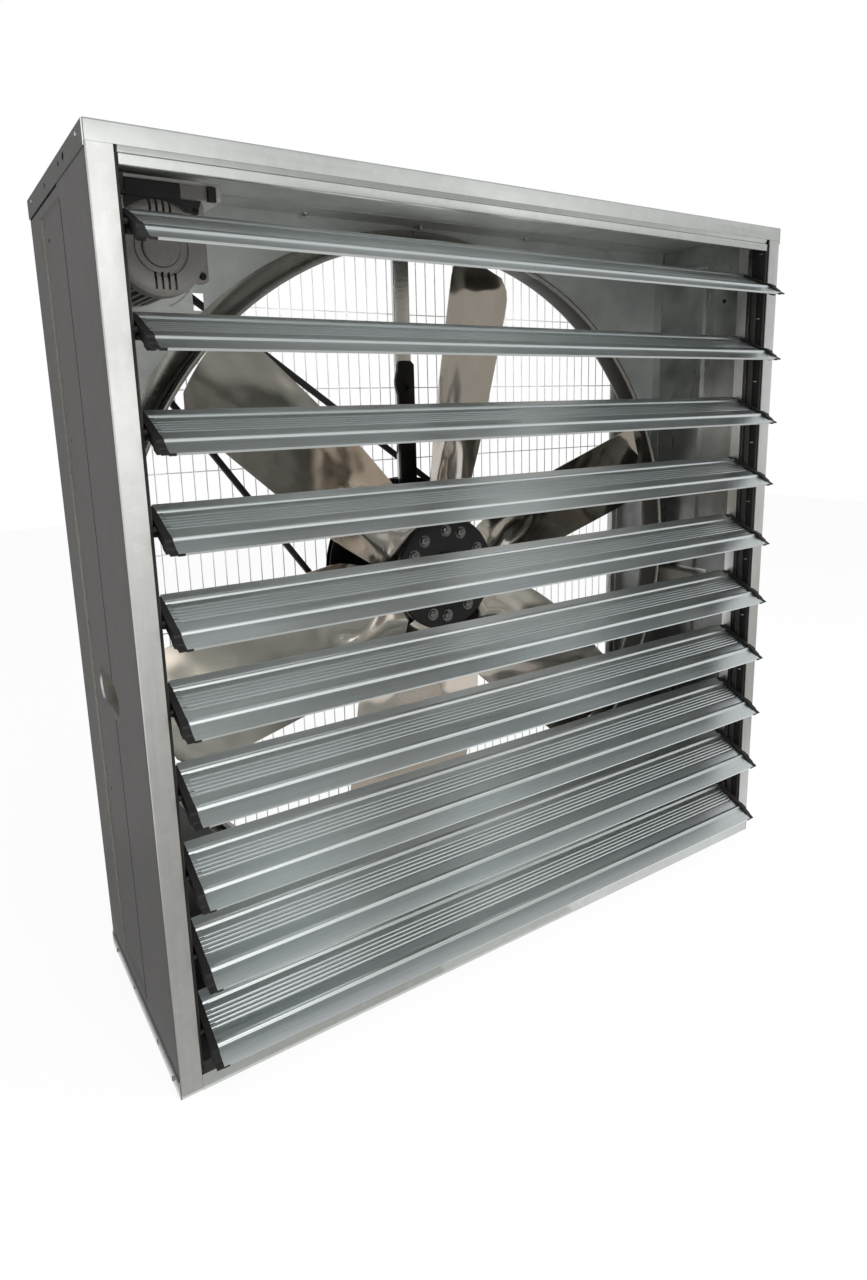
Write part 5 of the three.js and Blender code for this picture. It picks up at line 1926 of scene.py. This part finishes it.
    def _hanger(self) -> None:
        """Makes the bracket: plate with a turned-up hem on two angle legs, black blocks of painted shadow, a
        spacer and bolts.
        """
        low, sheet = self.hanger_z, self.hanger_sheet
        y0, y1 = self.hanger_y
        line = [(y1, low), (y0, low), (y0, self.hem_top)]
        section = folded(line[::-1], sheet, self.bend)
        shape = Shape().prism(section, Axis.X, *self.hanger_x)
        for rear in self.leg_rears:
            angle = [(rear, low + 0.5), (rear, self.ceiling), (rear - self.leg_flange, self.ceiling)]
            shape.prism(folded(angle, sheet, self.bend), Axis.X, *self.hanger_x)
        shape.build("motor_bracket_folded", HANGER_SHEET, ["motor_bracket"])
        # Painted shadow: thin black blocks in the belt's rubber over the bracket's front and the top of the
        # motor's cover, where the space under the bracket lies in shade.
        shadow_blocks = Shape()
        left, right = self.hanger_x
        shadow_blocks.block((left - 0.4, right - 60), (y0 - 2.5, y0), (low - 4, low + 18))
        shadow_blocks.block((right - 21.7, right - 9.5), (y0 - 8, y0), (low - 3, low + 17))
        shadow_blocks.block((left, right - 31), (self.square_front - 1.5, self.square_front), (low - 18, low - 1))
        shadow_wedge = [(left + 70, low - 0.6), (right - 26, low - 0.6), (right - 33, low - 14),
                  (right - 39, low - 20)]
        shadow_blocks.prism(shadow_wedge, Axis.Y, self.square_front - 3, self.square_front)
        shadow_blocks.build("motor_bracket_painted_shadow_blocks", BELT_RUBBER, bevel=1.0)
        filler = Shape().block((right - 60, right - 21.7), (y0 - 3, y0), (low - 1, low + 17))
        filler.build("motor_bracket_spacer", MOTOR_ENAMEL)
        bolts, up = Shape(), Vector((0, 0, 1))
        for end, inset in zip(self.hanger_x, self.hanger_bolt_xs):
            for y in self.hanger_bolt_ys:
                base = Vector((end + inset, y, low + sheet))
                bolts.turned([(0, 1.6), (9, 1.6), (9, 0)], base, up, 20)
                bolts.hexagon(base + up * 1.6, up, 7.2, 5.5)
        bolts.build("motor_bracket_bolts", ZINC)


@dataclass
class Guard(SubAssembly):
    """The welded wire guard over the intake."""

    half: float = 668.0
    border: float = 12.0
    back_y: float = 223.5
    wire: float = 2.2
    weld_share: float = 0.93
    uprights: int = 52
    pitch: float = 24.5
    row_half: tuple[float, ...] = (76.5, 229.5, 382.5, 535.5)

    def build(self) -> None:
        """Makes the border, the uprights and the rows as one net."""
        radius = self.wire / 2
        shape = Shape()
        inner = self.half - self.border
        reach = self.half - self.border / 2
        y = self.back_y - radius
        for i in range(self.uprights):
            x = (i - (self.uprights - 1) / 2) * self.pitch
            shape.wire([Vector((x, y, self.axis_z - reach)), Vector((x, y, self.axis_z + reach))], radius)
        row_y = y - self.wire * self.weld_share
        for offset in (*self.row_half, *(-row for row in self.row_half)):
            z = self.axis_z + offset
            shape.wire([Vector((-reach, row_y, z)), Vector((reach, row_y, z))], radius)
        front, rear = self.back_y - self.wire, self.back_y
        corners = [(-1, -1), (1, -1), (1, 1), (-1, 1)]
        loops = [
            [Vector((a * size, depth, self.axis_z + b * size)) for a, b in corners]
            for size, depth in ((inner, front), (self.half, front), (self.half, rear), (inner, rear))
        ]
        shape.bridge([*loops, loops[0]])
        shape.build("rear_guard_net", GUARD_WIRE, ["rear_guard"], smooth=60)


# Stage, light and camera


@dataclass
class Studio:
    """A pale floor, soft lamps, cards for the metal to mirror, and the camera, in metres."""

    eye: Vector = Vector((-0.9255, -1.3261, 1.0322))
    right: Vector = Vector((0.83358, -0.55187, -0.02434))
    up: Vector = Vector((0.13067, 0.15417, 0.97937))
    back: Vector = Vector((-0.53672, -0.81956, 0.20063))
    lens: float = 22.737
    sensor: float = 36.0
    lift: float = -0.0536
    floor_size: float = 14.0
    world_strength: float = 0.55
    wall_y: float = -3.4

    def build(self) -> None:
        """Sets the scene up round the fan."""
        scene = bpy.context.scene
        scene.view_settings.view_transform = "Standard"
        self._camera(scene)
        self._world(scene)
        self._floor()
        self._cards()
        self._lamps()

    def _camera(self, scene: bpy.types.Scene) -> None:
        """Makes the camera at the photograph's viewpoint.

        Args:
            scene: The scene.
        """
        data = bpy.data.cameras.new("camera")
        data.sensor_fit = "VERTICAL"
        data.sensor_height = self.sensor
        data.lens = self.lens
        data.shift_y = self.lift
        data.clip_start, data.clip_end = 0.02, 60.0
        camera = bpy.data.objects.new("camera", data)
        turn = Matrix((self.right, self.up, self.back)).transposed().to_4x4()
        camera.matrix_world = Matrix.Translation(self.eye) @ turn
        scene.collection.objects.link(camera)
        scene.camera = camera

    def _world(self, scene: bpy.types.Scene) -> None:
        """Makes a world that is white to look at and in mirrors, and softer as a light.

        Args:
            scene: The scene.
        """
        world = bpy.data.worlds.new("studio_world")
        world.use_nodes = True
        tree = world.node_tree
        tree.nodes.clear()
        output = tree.nodes.new("ShaderNodeOutputWorld")
        seen, light = tree.nodes.new("ShaderNodeBackground"), tree.nodes.new("ShaderNodeBackground")
        seen.inputs["Color"].default_value = (1.0, 1.0, 1.0, 1.0)
        light.inputs["Color"].default_value = (0.95, 0.98, 1.0, 1.0)
        light.inputs["Strength"].default_value = self.world_strength
        mix = tree.nodes.new("ShaderNodeMixShader")
        tree.links.new(self._seen(tree), mix.inputs[0])
        tree.links.new(light.outputs[0], mix.inputs[1])
        tree.links.new(seen.outputs[0], mix.inputs[2])
        tree.links.new(mix.outputs[0], output.inputs["Surface"])
        scene.world = world

    @staticmethod
    def _seen(tree: Tree) -> Socket:
        """Makes a value that is 1 for rays that look straight, by a mirror or through glass.

        Args:
            tree: The nodes that take it.

        Returns:
            The value.
        """
        path = tree.nodes.new("ShaderNodeLightPath")
        total = path.outputs["Is Camera Ray"]
        for name in ("Is Glossy Ray", "Is Transmission Ray"):
            node = tree.nodes.new("ShaderNodeMath")
            node.operation = "MAXIMUM"
            tree.links.new(total, node.inputs[0])
            tree.links.new(path.outputs[name], node.inputs[1])
            total = node.outputs[0]
        return total

    def _floor(self) -> None:
        """Makes the floor, pale and with the fan's soft shadow."""
        grid = bmesh.new()
        bmesh.ops.create_grid(grid, x_segments=8, y_segments=8, size=self.floor_size / 2)
        data = bpy.data.meshes.new("floor")
        grid.to_mesh(data)
        grid.free()
        floor = bpy.data.objects.new("floor", data)
        floor.location.z = -0.0005
        bpy.context.scene.collection.objects.link(floor)
        made = bpy.data.materials.new("floor_pale")
        made.use_nodes = True
        tree = made.node_tree
        shader = tree.nodes["Principled BSDF"]
        shader.inputs["Roughness"].default_value = 0.85
        noise = tree.nodes.new("ShaderNodeTexNoise")
        noise.inputs["Scale"].default_value = 3.0
        ramp = tree.nodes.new("ShaderNodeValToRGB")
        ramp.color_ramp.elements[0].color = (0.88, 0.88, 0.875, 1.0)
        ramp.color_ramp.elements[1].color = (0.92, 0.92, 0.915, 1.0)
        tree.links.new(noise.outputs["Fac"], ramp.inputs[0])
        tree.links.new(ramp.outputs[0], shader.inputs["Base Color"])
        glow = tree.nodes.new("ShaderNodeEmission")
        glow.inputs["Color"].default_value = (1.0, 1.0, 1.0, 1.0)
        mix = tree.nodes.new("ShaderNodeMixShader")
        share = tree.nodes.new("ShaderNodeMath")
        share.operation = "MULTIPLY"
        share.inputs[1].default_value = 0.93
        tree.links.new(self._seen(tree), share.inputs[0])
        tree.links.new(share.outputs[0], mix.inputs[0])
        tree.links.new(shader.outputs[0], mix.inputs[1])
        tree.links.new(glow.outputs[0], mix.inputs[2])
        tree.links.new(mix.outputs[0], tree.nodes["Material Output"].inputs["Surface"])
        data.materials.append(made)

    def _card(self, name: str, corners: Sequence[Triple], colour: Colour) -> None:
        """Makes a glowing card that only mirrors show.

        Args:
            name: The card's name.
            corners: Its corners.
            colour: Its glow.
        """
        data = bpy.data.meshes.new(name)
        data.from_pydata(corners, [], [tuple(range(len(corners)))])
        card = bpy.data.objects.new(name, data)
        bpy.context.scene.collection.objects.link(card)
        made = bpy.data.materials.new(name)
        made.use_nodes = True
        tree = made.node_tree
        tree.nodes.clear()
        output, glow = tree.nodes.new("ShaderNodeOutputMaterial"), tree.nodes.new("ShaderNodeEmission")
        glow.inputs["Color"].default_value = (*colour, 1.0)
        tree.links.new(glow.outputs[0], output.inputs["Surface"])
        data.materials.append(made)
        card.visible_camera = False
        card.visible_diffuse = False
        card.visible_shadow = False
        card.visible_transmission = False

    def _cards(self) -> None:
        """Places the cards: front wall, floor, ceiling, one inside the ring and the dark ones on the left."""
        wall = self.wall_y
        for name, x, z, shade in (
            ("window_high", (-1.2, 0.25), (1.2, 3.0), 1.9), ("window_side", (0.25, 0.75), (1.2, 3.0), 1.25),
            ("window_middle", (-1.2, 0.75), (0.5, 1.2), 1.65),
            ("window_low", (-1.2, 0.75), (0.0, 0.5), 1.0), ("wall_grey", (0.75, 1.75), (1.7, 3.0), 0.74),
            ("wall_bright", (1.75, 3.2), (1.7, 3.0), 1.5), ("wall_dim", (3.2, 4.5), (1.7, 3.0), 0.85),
            ("wall_far_high", (4.5, 8.0), (1.7, 3.0), 0.48), ("wall_far_low", (4.6, 8.0), (0.0, 1.7), 0.9),
            ("wall_dark", (0.75, 2.4), (0.0, 1.7), 0.3), ("wall_mid", (2.4, 4.6), (0.0, 1.7), 0.6),
        ):
            corners = [(x[0], wall, z[0]), (x[1], wall, z[0]), (x[1], wall, z[1]), (x[0], wall, z[1])]
            self._card(f"card_{name}", corners, (shade, shade, shade * 0.98))
        for name, x, y, z, colour in (
            ("floor_far", (-1.2, 5.0), (wall, -1.7), 0.004, (0.7, 0.69, 0.67)),
            ("floor_near", (-1.2, 5.0), (-1.7, -0.45), 0.004, (0.52, 0.51, 0.49)),
            ("floor_edge_left", (-1.2, -0.2), (-0.45, -0.2265), 0.004, (0.56, 0.555, 0.54)),
            ("floor_edge_middle", (-0.2, 0.12), (-0.45, -0.2265), 0.004, (0.74, 0.73, 0.71)),
            ("ceiling", (-4.0, 6.0), (wall, 2.0), 3.4, (0.64, 0.65, 0.655)),
            ("floor_left", (-3.0, -0.694), (-0.35, 0.62), 0.004, (0.15, 0.145, 0.145)),
        ):
            corners = [(x[0], y[0], z), (x[1], y[0], z), (x[1], y[1], z), (x[0], y[1], z)]
            self._card(f"card_{name}", corners, colour)
        ring = [(0.6, -0.06, 0.9), (0.6, 0.13, 0.9), (0.25, 0.13, 1.27), (0.25, -0.06, 1.27)]
        self._card("card_ring", ring, (0.42, 0.41, 0.39))
        left = [(-3.0, 0.62, 0.0), (-0.694, 0.62, 0.0), (-0.694, 0.62, 3.0), (-3.0, 0.62, 3.0)]
        self._card("card_left_back", left, (0.175, 0.168, 0.168))

    def _lamp(self, name: str, place: Vector, target: Vector, size: Pair, power: float) -> None:
        """Makes one soft rectangular lamp that stays out of mirrors.

        Args:
            name: The lamp's name.
            place: Where it hangs.
            target: What it points at.
            size: Its width and height.
            power: Its power in watts.
        """
        data = bpy.data.lights.new(name, "AREA")
        data.shape = "RECTANGLE"
        data.size, data.size_y = size
        data.energy = power
        lamp = bpy.data.objects.new(name, data)
        lamp.location = place
        lamp.rotation_euler = (target - place).to_track_quat("-Z", "Y").to_euler()
        lamp.visible_glossy = False
        bpy.context.scene.collection.objects.link(lamp)

    def _lamps(self) -> None:
        """Places the lamps: overhead, front left, right, low front and one inside under the ceiling."""
        middle = Vector((0.0, 0.0, 0.7))
        self._lamp("lamp_overhead", Vector((0.3, -1.0, 3.3)), middle, (3.4, 2.6), 70.0)
        self._lamp("lamp_window", Vector((-0.15, -3.2, 2.1)), Vector((-0.6, 0.0, 1.0)), (1.4, 1.8), 80.0)
        self._lamp("lamp_fill", Vector((2.8, -1.6, 1.8)), middle, (2.0, 2.0), 20.0)
        self._lamp("lamp_low", Vector((0.2, -2.4, 0.15)), Vector((0.0, 0.1, 1.3)), (2.0, 0.5), 25.0)
        self._lamp("lamp_inside", Vector((0.0, 0.0, 1.1)), Vector((0.0, 0.0, 1.378)), (0.9, 0.15), 1.1)


def louvre_pivots() -> list[Vector]:
    """Returns the louvres' pivots from the record's joints, from the top, in millimetres."""
    tilts = sorted((j for j in frame["joints"] if j["name"].endswith("_tilt")), key=lambda j: j["name"])
    return [Vector(joint["pos_m"]) / MM for joint in tilts]


def main() -> None:
    """Builds the fan's looks."""
    logging.basicConfig(level=logging.INFO, format="%(name)s: %(message)s")
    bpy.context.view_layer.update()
    pivots = louvre_pivots()
    Studio().build()
    Casing().build()
    Venturi().build()
    ShutterFrame().build(pivots)
    Louvres().build(pivots)
    Rotor().build()
    BeltDrive().build()
    Motor().build()
    Guard().build()
    bpy.context.view_layer.update()


if __name__ == "__main__":
    main()
